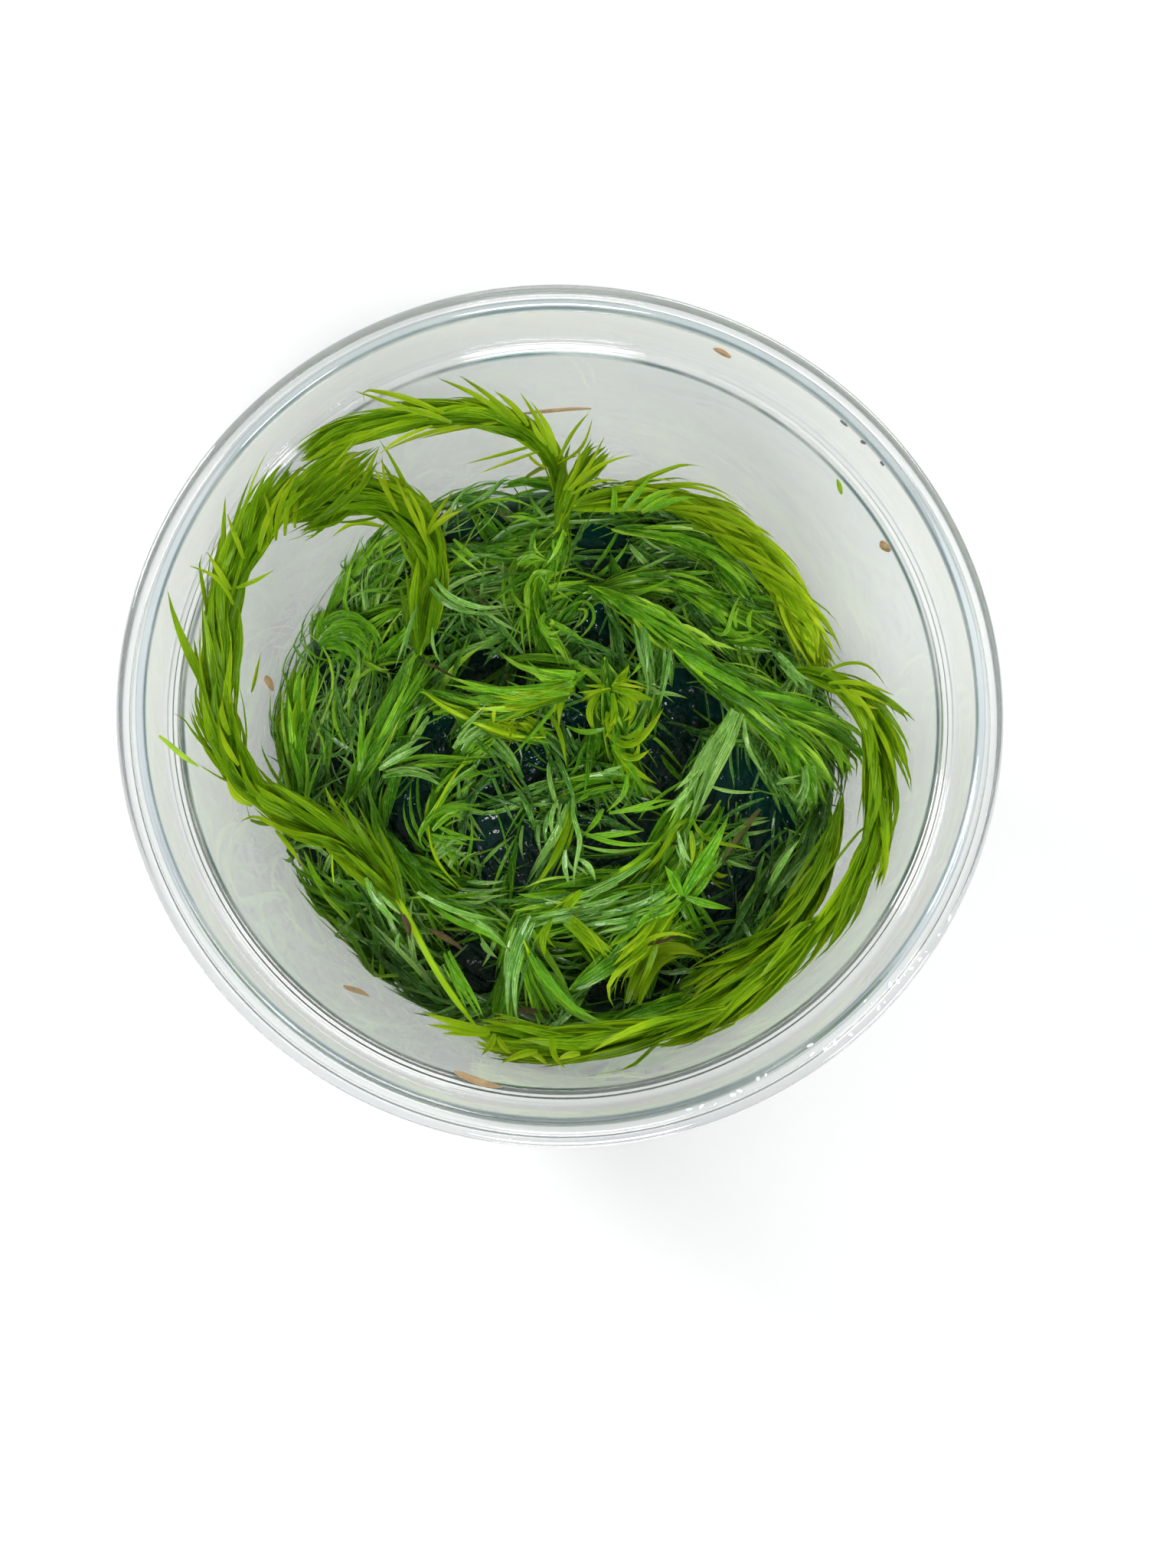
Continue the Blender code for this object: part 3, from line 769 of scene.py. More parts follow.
leaf = {
    "steps": 8,
    "lineStep": 0.5,
    "turn": math.radians(137.5),
    "turnSpread": 0.2,      # radians
    "bunches": 5,           # round the stem
    "bunchTwist": 0.35,     # radians per mm of stem
    "widestAt": 0.38,
    "baseWidth": 0.50,
    "taper": 1.7,
    "fold": 0.45,
    "wallGap": 0.12,
    "gelGap": 0.12,
    "stemSides": 8,
    "stemTaper": 5.0,
    "stemEnds": 0.25,       # thickness of a stem's ends, as a share of the stem's
    "stemShow": 0.4,        # how much of the stem's own colour shows
    "root": 0.6,            # where the leaves start, as a share of the stem's radius
    "brushTip": 6.0,        # how far the leaves reach past the end of the stem
    "pastTip": (-0.5, 1.5), # how far past their shoot's end the last ones reach
    "swells": ((0.16, 0.9), (0.10, 2.3)),   # of the foliage: how much, and radians per mm
    "crowding": 0.7,        # below 1, more leaves lie at the outside of the foliage
    "leastOff": 0.1,
    "opening": (0.45, 0.85),                # how late a leaf has left its stem
    "tipSpread": 0.3,
    "closeLength": 0.95,
    "freeBow": 0.25,
    "twist": 0.25,          # radians along a leaf
    "bendFrom": 0.005,      # radians per mm, the least that counts as a bend
    "loose": (0.3, 1.0),    # how closely the leaves outside a bend follow it
    "freeCling": 0.15,
    "closeCurl": 0.35,      # as a share of a free leaf's
    "sway": 0.16,
    "swayTurns": (4, 8),
    "roll": 0.35,
    "freeRoll": 0.6,
    # painted shade: how much lighter leaves at the outside of the foliage are than those deep inside it
    "paintedFoliageShade": 0.45,
    "tipTone": 0.2,
    # painted shade beside the gaps: how much darker the nearest leaves get, and how far it reaches
    "paintedGapShade": 0.53,
    "paintedGapShadeReach": 30.0,     # pixels
}
ways = {
    "leaf_bright": {
        "leavesPerMm": 5.5,
        "leafLength": (10.0, 17.0),
        "leafWidth": (0.75, 1.40),
        "fill": (0.15, 1.12),       # how far the leaves stand off, as a share of the foliage's radius
        "tuck": 0.34,               # how far their tips turn back in, as a share of that
        "cling": (0.75, 1.0),       # how closely they follow the stem's bends
        "freeShare": 0.04,
        "freeAngle": (12, 30),
        "bunching": 0.45,
        "withered": 0.0,
        "curl": 1.5,                # mm at the tip of a free leaf
        "tone": -0.18,
        "toneSpread": 0.17,
        "low": 0.0,                 # how much painted shade they take beside a hollow
        "strays": 0.6,              # share of the leaves over a hollow that stay
        "stemRadius": 0.55,
    },
    "leaf_deep": {
        "leavesPerMm": 5.0,
        "leafLength": (8.0, 14.0),
        "leafWidth": (0.55, 1.10),
        "fill": (0.15, 1.30),
        "tuck": 0.20,
        "cling": (0.50, 1.0),
        "freeShare": 0.12,
        "freeAngle": (14, 50),
        "bunching": 0.55,
        "withered": 0.003,
        "curl": 1.8,
        "tone": 0.09,
        "toneSpread": 0.34,
        "low": 0.7,
        "strays": 0.08,
        "stemRadius": 0.50,
    },
    "leaf_wet": {
        "leavesPerMm": 4.2,
        "leafLength": (7.0, 13.0),
        "leafWidth": (0.45, 0.95),
        "fill": (0.15, 1.55),
        "tuck": 0.15,
        "cling": (0.40, 1.0),
        "freeShare": 0.24,
        "freeAngle": (14, 65),
        "bunching": 0.60,
        "withered": 0.012,
        "curl": 2.2,
        "tone": 0.10,
        "toneSpread": 0.38,
        "low": 1.0,
        "strays": 0.03,
        "stemRadius": 0.45,
    },
}


def carriedFrames(line):  # two directions across the line, carried along it without twist
    tangents = unit(np.gradient(line, axis=0))
    side = np.cross(tangents[0], (0.0, 0.0, 1.0))
    sides = []
    for tangent in tangents:
        side = side - tangent * side.dot(tangent)
        side /= np.linalg.norm(side)
        sides.append(side)
    sides = np.array(sides)
    return tangents, sides, np.cross(tangents, sides)


def readLine(values, places):
    index = np.clip(places / leaf["lineStep"], 0, len(values) - 1.001)
    left = index.astype(int)
    share = (index - left)[..., None]
    return values[left] * (1 - share) + values[left + 1] * share


def keepInside(points):  # pressed flat on the wall and the gel where they would pass through
    reach = np.hypot(points[..., 0], points[..., 1])
    allowed = insideRadius(points[..., 2]) - leaf["wallGap"]
    points[..., :2] *= np.minimum(1.0, allowed / np.maximum(reach, 1e-6))[..., None]
    points[..., 2] = np.maximum(points[..., 2], gel["top"] + leaf["gelGap"])
    return points


def halfWidths(t, widths):
    widest = leaf["widestAt"]
    rise = leaf["baseWidth"] + (1 - leaf["baseWidth"]) * np.sin(np.minimum(t / widest, 1) * math.pi / 2)
    taper = 1 - np.clip((t - widest) / (1 - widest), 0, 1) ** leaf["taper"]
    return widths[:, None] / 2 * rise * taper


def bladePoints(centres, across, halves, fold):  # left edge, midrib and right edge, then one tip
    count, steps = centres.shape[:2]
    normal = unit(np.cross(across, np.gradient(centres, axis=1)))
    half = halves[..., None]
    middle = centres - normal * half * fold
    rows = np.stack([centres - across * half, middle, centres + across * half], axis=2)
    body = rows[:, :-1].reshape(count, 3 * (steps - 1), 3)
    return np.concatenate([body, centres[:, -1:]], axis=1)


def bladeMesh(blades, tones, withered):  # the parts of a piece that is made of leaves
    count, size = blades.shape[:2]
    steps = (size + 2) // 3
    pattern = []
    for a in range(0, 3 * (steps - 2), 3):
        pattern += [(a, a + 1, a + 4, a + 3), (a + 1, a + 2, a + 5, a + 4)]
    pattern += [(size - 4, size - 3, size - 1), (size - 3, size - 2, size - 1)]
    along = np.append(np.repeat(np.linspace(0, 1, steps)[:-1], 3), 1.0)
    across = np.append(np.tile((-1.0, 0.0, 1.0), steps - 1), 0.0)
    faces = [tuple(first + i for i in face) for first in range(0, count * size, size) for face in pattern]
    return blades.reshape(-1, 3), faces, {
        "along": np.tile(along, count),
        "across": np.tile(across, count),
        "tone": np.repeat(tones, size),
        "withered": np.repeat(withered, size),
        "stem": np.zeros(count * size),
    }


hollows = {             # dark gaps where the gel shows: x, y and radius in pixels of the picture
    "right": ((905, 925, 36), (885, 962, 34), (868, 1005, 30), (868, 1032, 18), (901, 894, 20)),
    "behindColumn": ((962, 1012, 28), (978, 1047, 28), (945, 1053, 26), (1012, 1075, 24)),
    "left": ((528, 1045, 36), (540, 1085, 26), (570, 958, 32), (546, 958, 24)),
    "back": ((791, 722, 32), (633, 875, 26), (783, 823, 20)),
    "edge": ((590, 714, 9), (606, 706, 9), (622, 699, 9), (640, 692, 9), (656, 687, 8)),
    "star": ((948, 1168, 32), (940, 1202, 22), (1000, 1108, 18)),
    "centre": ((800, 1118, 36), (655, 1092, 34), (680, 1118, 30), (694, 1000, 26), (755, 952, 22),
               (732, 1135, 22), (850, 1095, 22), (762, 1090, 20)),
    "front": ((622, 1262, 34), (905, 1270, 18), (775, 1300, 22), (640, 1135, 24), (838, 1290, 18)),
}
hollowPixels = np.array([circle for circles in hollows.values() for circle in circles], float)
wallGaps = np.array((   # slits between the leaves where the cup's wall shows
    (1117, 932, 5), (1119, 945, 6), (1121, 958, 5), (1151, 1012, 4), (1153, 1026, 4), (1112, 1112, 7),
    (1108, 1124, 9), (1102, 1138, 10), (1096, 1151, 10), (1090, 1163, 10), (1083, 1175, 10),
    (1074, 1184, 8), (1056, 1212, 4), (905, 1333, 6), (896, 1336, 4), (366, 1004, 5), (355, 1034, 6),
), float)


def inCircles(x, y, circles):
    inside = np.zeros(len(x), bool)
    for pixelX, pixelY, size in circles:
        inside |= (np.hypot(x - pixelX, y - pixelY) < size).any(axis=1)
    return inside


def paintedGapShadeAt(centres):  # painted shade: leaves beside a gap get a darker tone, the nearer the darker
    x, y = pixelOf(centres[:, leaf["steps"] // 2])
    away = np.hypot(x[:, None] - hollowPixels[:, 0], y[:, None] - hollowPixels[:, 1]) - hollowPixels[:, 2]
    return leaf["paintedGapShade"] * np.exp(-np.maximum(away.min(axis=1), 0) / leaf["paintedGapShadeReach"])


def outOfHollows(centres, rng, strays):  # which leaves leave the gaps open, but for a share of them
    x, y = pixelOf(centres)
    shares = [inCircles(x[:, 2:], y[:, 2:], hollowPixels), inCircles(x, y, wallGaps)]
    return ~shares[1] & (~shares[0] | (rng.random(len(centres)) < strays))


def growLeaves(line, radii, way, rng):
    tangents, sides, ups = carriedFrames(line)
    step = leaf["lineStep"]
    length = (len(line) - 1) * step
    count = int(length * way["leavesPerMm"])
    order = np.arange(count)
    starts = (order + rng.random(count)) / way["leavesPerMm"]
    for low, high in way.get("bare", ()):
        starts = np.where((starts > low * length) & (starts < high * length), -1, starts)
    kept = (starts >= 0) & (starts < length - leaf["brushTip"])
    starts = starts[kept]
    order = order[kept]
    count = len(starts)
    angles = order * leaf["turn"] + rng.normal(0, leaf["turnSpread"], count)
    angles += way["bunching"] * np.sin(leaf["bunches"] * angles + starts * leaf["bunchTwist"])
    longs = rng.uniform(*way["leafLength"], count)
    longs = np.minimum(longs, length + rng.uniform(*leaf["pastTip"], count) - starts)[:, None]
    wides = rng.uniform(*way["leafWidth"], count)
    cling = rng.uniform(*way["cling"], count)
    free = rng.random(count) < way["freeShare"]
    t = np.linspace(0, 1, leaf["steps"])[None, :]

    # how far each leaf goes off its stem and on along it
    swell = 1.0
    for (size, rate), phase in zip(leaf["swells"], rng.uniform(0, 6, 2)):
        swell = swell + size * np.sin(starts * rate + phase)
    reach = readLine(radii[:, None], starts)[:, 0] * swell
    root = way["stemRadius"] * leaf["root"]
    depth = rng.random(count) ** leaf["crowding"]
    low, high = way["fill"]
    outer = np.maximum(reach * (low + (high - low) * depth), root + leaf["leastOff"])
    lean = np.radians(rng.uniform(*way["freeAngle"], count))[:, None]
    opening = rng.uniform(*leaf["opening"], count)[:, None]
    tips = rng.normal(0.0, leaf["tipSpread"], count)[:, None]
    closeOff = root + (outer - root)[:, None] * np.sin(t ** opening * math.pi / 2)
    closeOff = closeOff * (1 - way["tuck"] * t ** 4) + tips * t ** 3
    freeOff = root + longs * np.sin(lean) * t * (1 - leaf["freeBow"] * t)
    off = np.where(free[:, None], freeOff, closeOff)[..., None]
    on = np.where(free[:, None], longs * np.cos(lean) * t, longs * t * leaf["closeLength"])
    turned = (angles[:, None] + rng.normal(0.0, leaf["twist"], count)[:, None] * t)[..., None]
    cosine = np.cos(turned)
    sine = np.sin(turned)

    # leaves on the outside of a bend stand free of it
    lines = (line, tangents, sides, ups, np.gradient(tangents, axis=0) / step)
    base, baseOn, baseSide, baseUp, bend = (readLine(values, starts)[:, None] for values in lines)
    angles = angles[:, None, None]
    outside = -((baseSide * np.cos(angles) + baseUp * np.sin(angles)) * bend).sum(axis=(1, 2))
    loose = rng.uniform(*way.get("loose", leaf["loose"]), count)
    cling = np.where(outside > leaf["bendFrom"], cling * loose, cling)
    cling = np.where(free, leaf["freeCling"], cling)[:, None, None]

    places = starts[:, None] + on
    past = np.maximum(places - length, 0.0)[..., None]
    bent, bentOn, bentSide, bentUp = (readLine(values, places) for values in lines[:4])
    bent = bent + bentOn * past + off * (bentSide * cosine + bentUp * sine)
    straight = base + baseOn * on[..., None] + off * (baseSide * cosine + baseUp * sine)
    centres = straight + cling * (bent - straight)
    curl = rng.normal(0, 1, count) * np.where(free, way["curl"], way["curl"] * leaf["closeCurl"])
    sway = rng.normal(0, leaf["sway"], count)[:, None]
    sway = sway * np.sin(t * rng.uniform(*leaf["swayTurns"], count)[:, None])
    sideways = bentUp * cosine - bentSide * sine
    centres = keepInside(centres + (curl[:, None] * t ** 2 + sway)[..., None] * sideways)

    forward = unit(np.gradient(centres, axis=1))
    flat = sideways * cling + (baseUp * cosine - baseSide * sine) * (1 - cling)
    flat = unit(flat - forward * (flat * forward).sum(axis=-1, keepdims=True))
    roll = rng.normal(0, leaf["roll"], count)
    roll = (roll + np.where(free, rng.normal(0, leaf["freeRoll"], count), 0))[:, None, None]
    across = unit(flat * np.cos(roll) + np.cross(forward, flat) * np.sin(roll))
    points = keepInside(bladePoints(centres, across, halfWidths(t, wides), leaf["fold"]))
    tones = rng.normal(way["tone"], way["toneSpread"], count)
    # painted shade: darker tones for leaves deep inside the foliage and for leaves beside the gaps
    tones = tones + leaf["paintedFoliageShade"] * depth + leaf["tipTone"] * (starts / length) ** 3
    tones = np.clip(tones - way["low"] * paintedGapShadeAt(centres), 0, 1)
    withered = (rng.random(count) < way["withered"]).astype(float)
    kept = outOfHollows(centres, rng, way["strays"])
    return points[kept], tones[kept], withered[kept]


def stemTube(rings, radius, along, tone, stem):  # narrows to both its ends
    sides = leaf["stemSides"]
    angles = aroundCircle(sides)[:, None]
    level, ups = carriedFrames(rings)[1:]
    run = runAlong(rings)
    ends = np.clip(np.minimum(run, run[-1] - run) / leaf["stemTaper"], 0, 1)
    sizes = radius * (leaf["stemEnds"] + (1 - leaf["stemEnds"]) * ends)
    reach = level[:, None] * np.cos(angles) + ups[:, None] * np.sin(angles)
    points = keepInside((rings[:, None] + reach * sizes[:, None, None]).reshape(-1, 3))
    count = len(points)
    faces = tubeFaces(len(rings), sides)
    faces += [tuple(range(sides))[::-1], tuple(range(count - sides, count))]
    return points, faces, {
        "along": np.repeat(np.linspace(0, along, len(rings)), sides),
        "across": np.zeros(count),
        "tone": np.full(count, tone),
        "withered": np.zeros(count),
        "stem": np.full(count, stem),
    }


skin = {                # what all the leaves' materials share
    "blotches": 260.0,      # how fine, per metre
    "beads": 1400.0,
    "stretch": (5.0, 1.6, 90.0),    # of the streaks: along a leaf, across it and from leaf to leaf
    "streaks": 1.6,         # how fine, on the stretched leaf
    # painted glints: how fine their noise is on the stretched leaf, and the noise values where they fade in
    "paintedGlints": 3.4,
    "paintedGlintEdge": (0.60, 0.72),
    "veins": 12.0,
    "tone": 0.60,
    "blotch": 0.35,
    "darker": 0.12,
    "stem": 0.8,
    "relief": 0.00006,      # metres
    "unevenGloss": 0.15,
    "thinEdge": 0.10,
}


def leafFinish(name, look):
    green = Finish(name)
    along = green.attribute("along")
    across = green.attribute("across")
    tone = green.attribute("tone")
    blotch = green.noise(skin["blotches"], 3.0)
    beads = green.noise(skin["beads"], 2.0)
    places = [value * share for value, share in zip((along, across, tone), skin["stretch"])]
    onLeaf = green.node("ShaderNodeCombineXYZ", values=dict(enumerate(places)))
    streaks = green.noise(skin["streaks"], 3.0, 0.6, onLeaf)
    veins = green.node("ShaderNodeMath", {"operation": "COSINE"}, {0: across * skin["veins"]})
    edge = across * across
    edge = edge * edge
    light = tone * skin["tone"] + along * look["along"] + edge * look["edge"]
    light = light + blotch * skin["blotch"] + veins * look["veins"]
    light = light + (streaks - 0.5) * look["streaks"] - skin["darker"]
    shade = green.ramp(light, look["stops"])
    # painted highlights: pale specks mixed into the colour where a stretched noise is high, standing in for
    # wet glints
    dull, bright = skin["paintedGlintEdge"]
    paintedShine = green.noise(skin["paintedGlints"], 1.0, 0.5, onLeaf)
    paintedShine = green.ramp(paintedShine, ((dull, (0, 0, 0, 1)), (bright, (1, 1, 1, 1))))
    shade = green.mix(paintedShine * look["paintedGlints"], shade, look["paintedGlintColour"])
    shade = green.mix(green.attribute("stem") * skin["stem"], shade, look["stemColour"])
    shade = green.mix(green.attribute("withered"), shade, look["witheredColour"])
    bump = green.bump(veins + beads * look["beads"], skin["relief"], 0.8)
    blade = green.principled({
        "Base Color": shade,
        "Roughness": look["roughness"] + blotch * skin["unevenGloss"],
        "IOR": 1.36,
        "Specular Tint": look["gloss"],
        "Coat Weight": look["wet"],
        "Coat IOR": 1.33,
        "Coat Roughness": 0.08,
        "Normal": bump,
    })
    glow = green.node("ShaderNodeBsdfTranslucent", values={"Color": look["glow"]})
    share = look["see"] + edge * skin["thinEdge"]
    return green.close(green.node("ShaderNodeMixShader", values={0: share, 1: blade, 2: glow}))


looks = {
    "leaf_bright": {
        "stops": (
            (0.10, (0.040, 0.115, 0.001, 1)),
            (0.40, (0.092, 0.215, 0.002, 1)),
            (0.68, (0.220, 0.380, 0.003, 1)),
            (0.98, (0.540, 0.670, 0.030, 1)),
        ),
        "stemColour": (0.33, 0.48, 0.010, 1),
        "witheredColour": (0.13, 0.10, 0.03, 1),
        "glow": (0.50, 0.72, 0.010, 1),
        "roughness": 0.24,
        "wet": 0.08,
        "gloss": (0.80, 1.0, 0.20, 1),
        "see": 0.38,
        "veins": 0.07,
        "edge": 0.22,
        "beads": 0.8,
        "paintedGlints": 0.22,
        "paintedGlintColour": (0.68, 0.84, 0.20, 1),
        "along": 0.36,
        "streaks": 0.45,
    },
    "leaf_deep": {
        "stops": (
            (0.08, (0.016, 0.090, 0.002, 1)),
            (0.35, (0.075, 0.270, 0.004, 1)),
            (0.64, (0.230, 0.500, 0.012, 1)),
            (0.95, (0.520, 0.740, 0.090, 1)),
        ),
        "stemColour": (0.30, 0.48, 0.012, 1),
        "witheredColour": (0.13, 0.10, 0.03, 1),
        "glow": (0.34, 0.64, 0.015, 1),
        "roughness": 0.20,
        "wet": 0.28,
        "gloss": (0.80, 1.0, 0.45, 1),
        "see": 0.34,
        "veins": 0.09,
        "edge": 0.28,
        "beads": 1.4,
        "paintedGlints": 0.40,
        "paintedGlintColour": (0.68, 0.88, 0.36, 1),
        "along": 0.16,
        "streaks": 0.75,
    },
    "leaf_wet": {
        "stops": (
            (0.08, (0.012, 0.075, 0.006, 1)),
            (0.35, (0.065, 0.235, 0.018, 1)),
            (0.64, (0.210, 0.450, 0.060, 1)),
            (0.97, (0.500, 0.700, 0.240, 1)),
        ),
        "stemColour": (0.32, 0.55, 0.03, 1),
        "witheredColour": (0.11, 0.085, 0.03, 1),
        "glow": (0.26, 0.50, 0.08, 1),
        "roughness": 0.16,
        "wet": 0.50,
        "gloss": (0.85, 1.0, 0.75, 1),
        "see": 0.28,
        "veins": 0.12,
        "edge": 0.34,
        "beads": 2.2,
        "paintedGlints": 0.60,
        "paintedGlintColour": (0.72, 0.88, 0.52, 1),
        "along": 0.10,
        "streaks": 0.95,
    },
}
looks["dead_bits"] = {
    **looks["leaf_wet"],
    "stops": (
        (0.10, (0.030, 0.020, 0.006, 1)),
        (0.60, (0.095, 0.066, 0.020, 1)),
        (0.98, (0.300, 0.240, 0.090, 1)),
    ),
    "glow": (0.16, 0.12, 0.03, 1),
    "wet": 0.10,
    "paintedGlints": 0.15,
    "gloss": (1.0, 0.9, 0.7, 1),
    "paintedGlintColour": (0.70, 0.62, 0.42, 1),
}
# lighter, yellower stops than leaf_bright: the tips' paler colour, with painted light for the light that
# shines through them
looks["outer_tips"] = {
    **looks["leaf_bright"],
    "stops": (
        (0.10, (0.050, 0.140, 0.001, 1)),
        (0.45, (0.150, 0.300, 0.002, 1)),
        (0.75, (0.340, 0.480, 0.008, 1)),
        (0.98, (0.600, 0.680, 0.060, 1)),
    ),
    "glow": (0.60, 0.74, 0.020, 1),
    "edge": 0.40,
    "see": 0.50,
}
ownWays = {
    "shoot_loop_left": {"bare": ((0.0, 0.215),), "stemRadius": 0.40, "stemShow": 0.62, "fill": (0.12, 1.10),
                        "tone": -0.27, "curl": 2.0, "freeShare": 0.07},
    "shoot_arc_left": {"leavesPerMm": 8.0, "tone": -0.33, "freeShare": 0.05, "fill": (0.10, 1.10),
                       "loose": (0.8, 1.0)},
    "shoot_arc_back": {"tone": -0.33, "freeShare": 0.0, "fill": (0.10, 1.0), "loose": (0.9, 1.0),
                       "leafWidth": (0.7, 1.2)},
    "shoot_edge_right": {"tone": 0.25},
    "shoot_loop_front": {"tone": 0.03},
    "shoot_diagonal": {"tone": 0.10},
    "shoot_loop_inner_right": {"tone": -0.10},
    "shoot_long_strand": {"bare": ((0.15, 0.55),)},
}


def makeShoots():
    finishes = {slot: leafFinish(slot.replace("_", " ").title().replace(" ", ""), look)
                for slot, look in looks.items()}
    total = 0
    for number, (name, (rings, radii, slot)) in enumerate(shootLines.items()):
        way = {**ways[slot], **ownWays.get(name, {})}
        rng = np.random.default_rng(100 + number)
        line = smoothLine(rings, int(runAlong(rings)[-1] / leaf["lineStep"]) + 1)[0]
        thick = np.interp(np.linspace(0, 1, len(line)), np.linspace(0, 1, len(radii)), radii)
        leaves = growLeaves(line, thick, way, rng)
        stemEnd = len(line) - int((leaf["brushTip"] - 1.0) / leaf["lineStep"])
        show = way.get("stemShow", leaf["stemShow"])
        stem = stemTube(line[:stemEnd:2], way["stemRadius"], 0.5, 0.6, show)
        parts = joinMeshes([stem, bladeMesh(*leaves)])
        addPiece(name.replace("shoot_", "leafy_"), parts, finishes[slot], (name,))
        total += len(leaves[0])
    print("shoots made:", total, "leaves")
    return finishes


finishes = makeShoots()


# Tangle: small tufts and loose leaves strewn low in the nest, lengths in mm

tangle = {
    "tufts": 118,
    "reach": 39.6,
    "tuftLength": (14.0, 26.0),
    "tuftRadius": (0.9, 2.0),
    "tuftLeaves": 3.0,      # per mm
    "tuftFree": 0.22,       # share of them that stand free
    "tuftBow": 1.2,
    "heights": (12.4, 15.0),
    "bend": 1.3,            # radians along one tuft
    "stray": (1.2, 0.4),    # radians off the way round the cup, at its axis and at its wall
    "wetShare": 0.6,
    "singles": 1100,
    "singleLength": (9.0, 20.0),
    "singleWidth": (0.30, 0.62),
    "singleHeights": (11.9, 15.8),
    "singleBow": (0.2, 2.6),
    "singleTone": (0.28, 0.34),     # middle and spread
    "paintedShadeByHeight": 0.08,     # painted shade: lighter per mm of height, so the lowest leaves look darkest
    "roll": 0.5,
    "strays": 0.04,         # share of them that stays over a hollow
}


def strayAt(radius):
    return np.interp(radius, (0, tangle["reach"]), tangle["stray"])


def tuftLine(x, y, height, heading, length, bend):
    count = max(5, int(length / leaf["lineStep"]) + 1)
    turns = heading + bend * (np.linspace(0, 1, count) - 0.5)
    line = np.cumsum(np.c_[np.cos(turns), np.sin(turns), np.zeros(count)] * leaf["lineStep"], axis=0)
    line = line - line[count // 2] + (x, y, height)
    line[:, 2] += tangle["tuftBow"] * np.sin(np.linspace(0, math.pi, count))
    return line


def flatBlades(centres, widths, tones, rng, roll):  # leaves that lie flat along their centre lines
    t = np.linspace(0, 1, centres.shape[1])[None, :]
    forward = unit(np.gradient(centres, axis=1))
    level = unit(np.cross(forward, (0.0, 0.0, 1.0)))
    rolls = rng.normal(0, roll, len(centres))[:, None, None]
    across = level * np.cos(rolls) + np.cross(level, forward) * np.sin(rolls)
    blades = keepInside(bladePoints(centres, across, halfWidths(t, widths), leaf["fold"]))
    return bladeMesh(blades, tones, np.zeros(len(centres)))


def looseLeaves(count, rng):
    radius = tangle["reach"] * np.sqrt(rng.random(count))
    angle = rng.random(count) * 2 * math.pi
    x = radius * np.cos(angle)
    y = radius * np.sin(angle)
    heading = angle - math.pi / 2 + rng.normal(0, strayAt(radius), count)
    bend = rng.normal(0, tangle["bend"], count)
    t = np.linspace(0, 1, leaf["steps"])
    turns = heading[:, None] + bend[:, None] * (t - 0.5)
    step = rng.uniform(*tangle["singleLength"], count)[:, None] / leaf["steps"]
    lineX = x[:, None] + np.cumsum(np.cos(turns) * step, axis=1)
    lineY = y[:, None] + np.cumsum(np.sin(turns) * step, axis=1)
    bow = rng.uniform(*tangle["singleBow"], count)[:, None]
    tilt = rng.normal(0, 1.0, count)[:, None] * (t - 0.5)
    lineZ = rng.uniform(*tangle["singleHeights"], count)[:, None] + bow * np.sin(t * math.pi) + tilt
    centres = keepInside(np.stack([lineX, lineY, lineZ], axis=2))
    centres = centres[outOfHollows(centres, rng, tangle["strays"])]
    count = len(centres)
    # painted shade: lower leaves and leaves beside the gaps get darker tones
    raised = centres[:, :, 2].mean(axis=1) - tangle["singleHeights"][0]
    tones = rng.normal(*tangle["singleTone"], count) + raised * tangle["paintedShadeByHeight"]
    tones = np.clip(tones - paintedGapShadeAt(centres), 0, 1)
    return flatBlades(centres, rng.uniform(*tangle["singleWidth"], count), tones, rng, tangle["roll"])


def makeTangle():
    rng = np.random.default_rng(71)
    parts = {"leaf_wet": [], "leaf_deep": []}
    for number in range(tangle["tufts"]):
        radius = tangle["reach"] * math.sqrt((number + 0.5) / tangle["tufts"])
        angle = number * leaf["turn"] + rng.normal(0, 0.1)
        x = radius * math.cos(angle)
        y = radius * math.sin(angle)
        heading = angle - math.pi / 2 + rng.normal(0, strayAt(radius))
        length = rng.uniform(*tangle["tuftLength"])
        height = rng.uniform(*tangle["heights"])
        line = tuftLine(x, y, height, heading, length, rng.normal(0, tangle["bend"]))
        thick = np.full(len(line), rng.uniform(*tangle["tuftRadius"]))
        kind = "leaf_wet" if rng.random() < tangle["wetShare"] else "leaf_deep"
        way = {**ways[kind], "leavesPerMm": tangle["tuftLeaves"], "freeShare": tangle["tuftFree"]}
        parts[kind].append(bladeMesh(*growLeaves(line, thick, way, rng)))
    share = tangle["wetShare"]
    parts["leaf_wet"].append(looseLeaves(int(tangle["singles"] * share), rng))
    parts["leaf_deep"].append(looseLeaves(int(tangle["singles"] * (1 - share)), rng))
    for kind, made in parts.items():
        addPiece(kind.replace("leaf_", "tangle_"), joinMeshes(made), finishes[kind])


makeTangle()
print("tangle made")


# Strands: the leaves and bare stems that stand out in the picture, laid over what is below them.
# Each group: slot, width in mm, tone, least height in mm, and its lines.  A line is x, y, x, y ...
# in pixels of the picture.

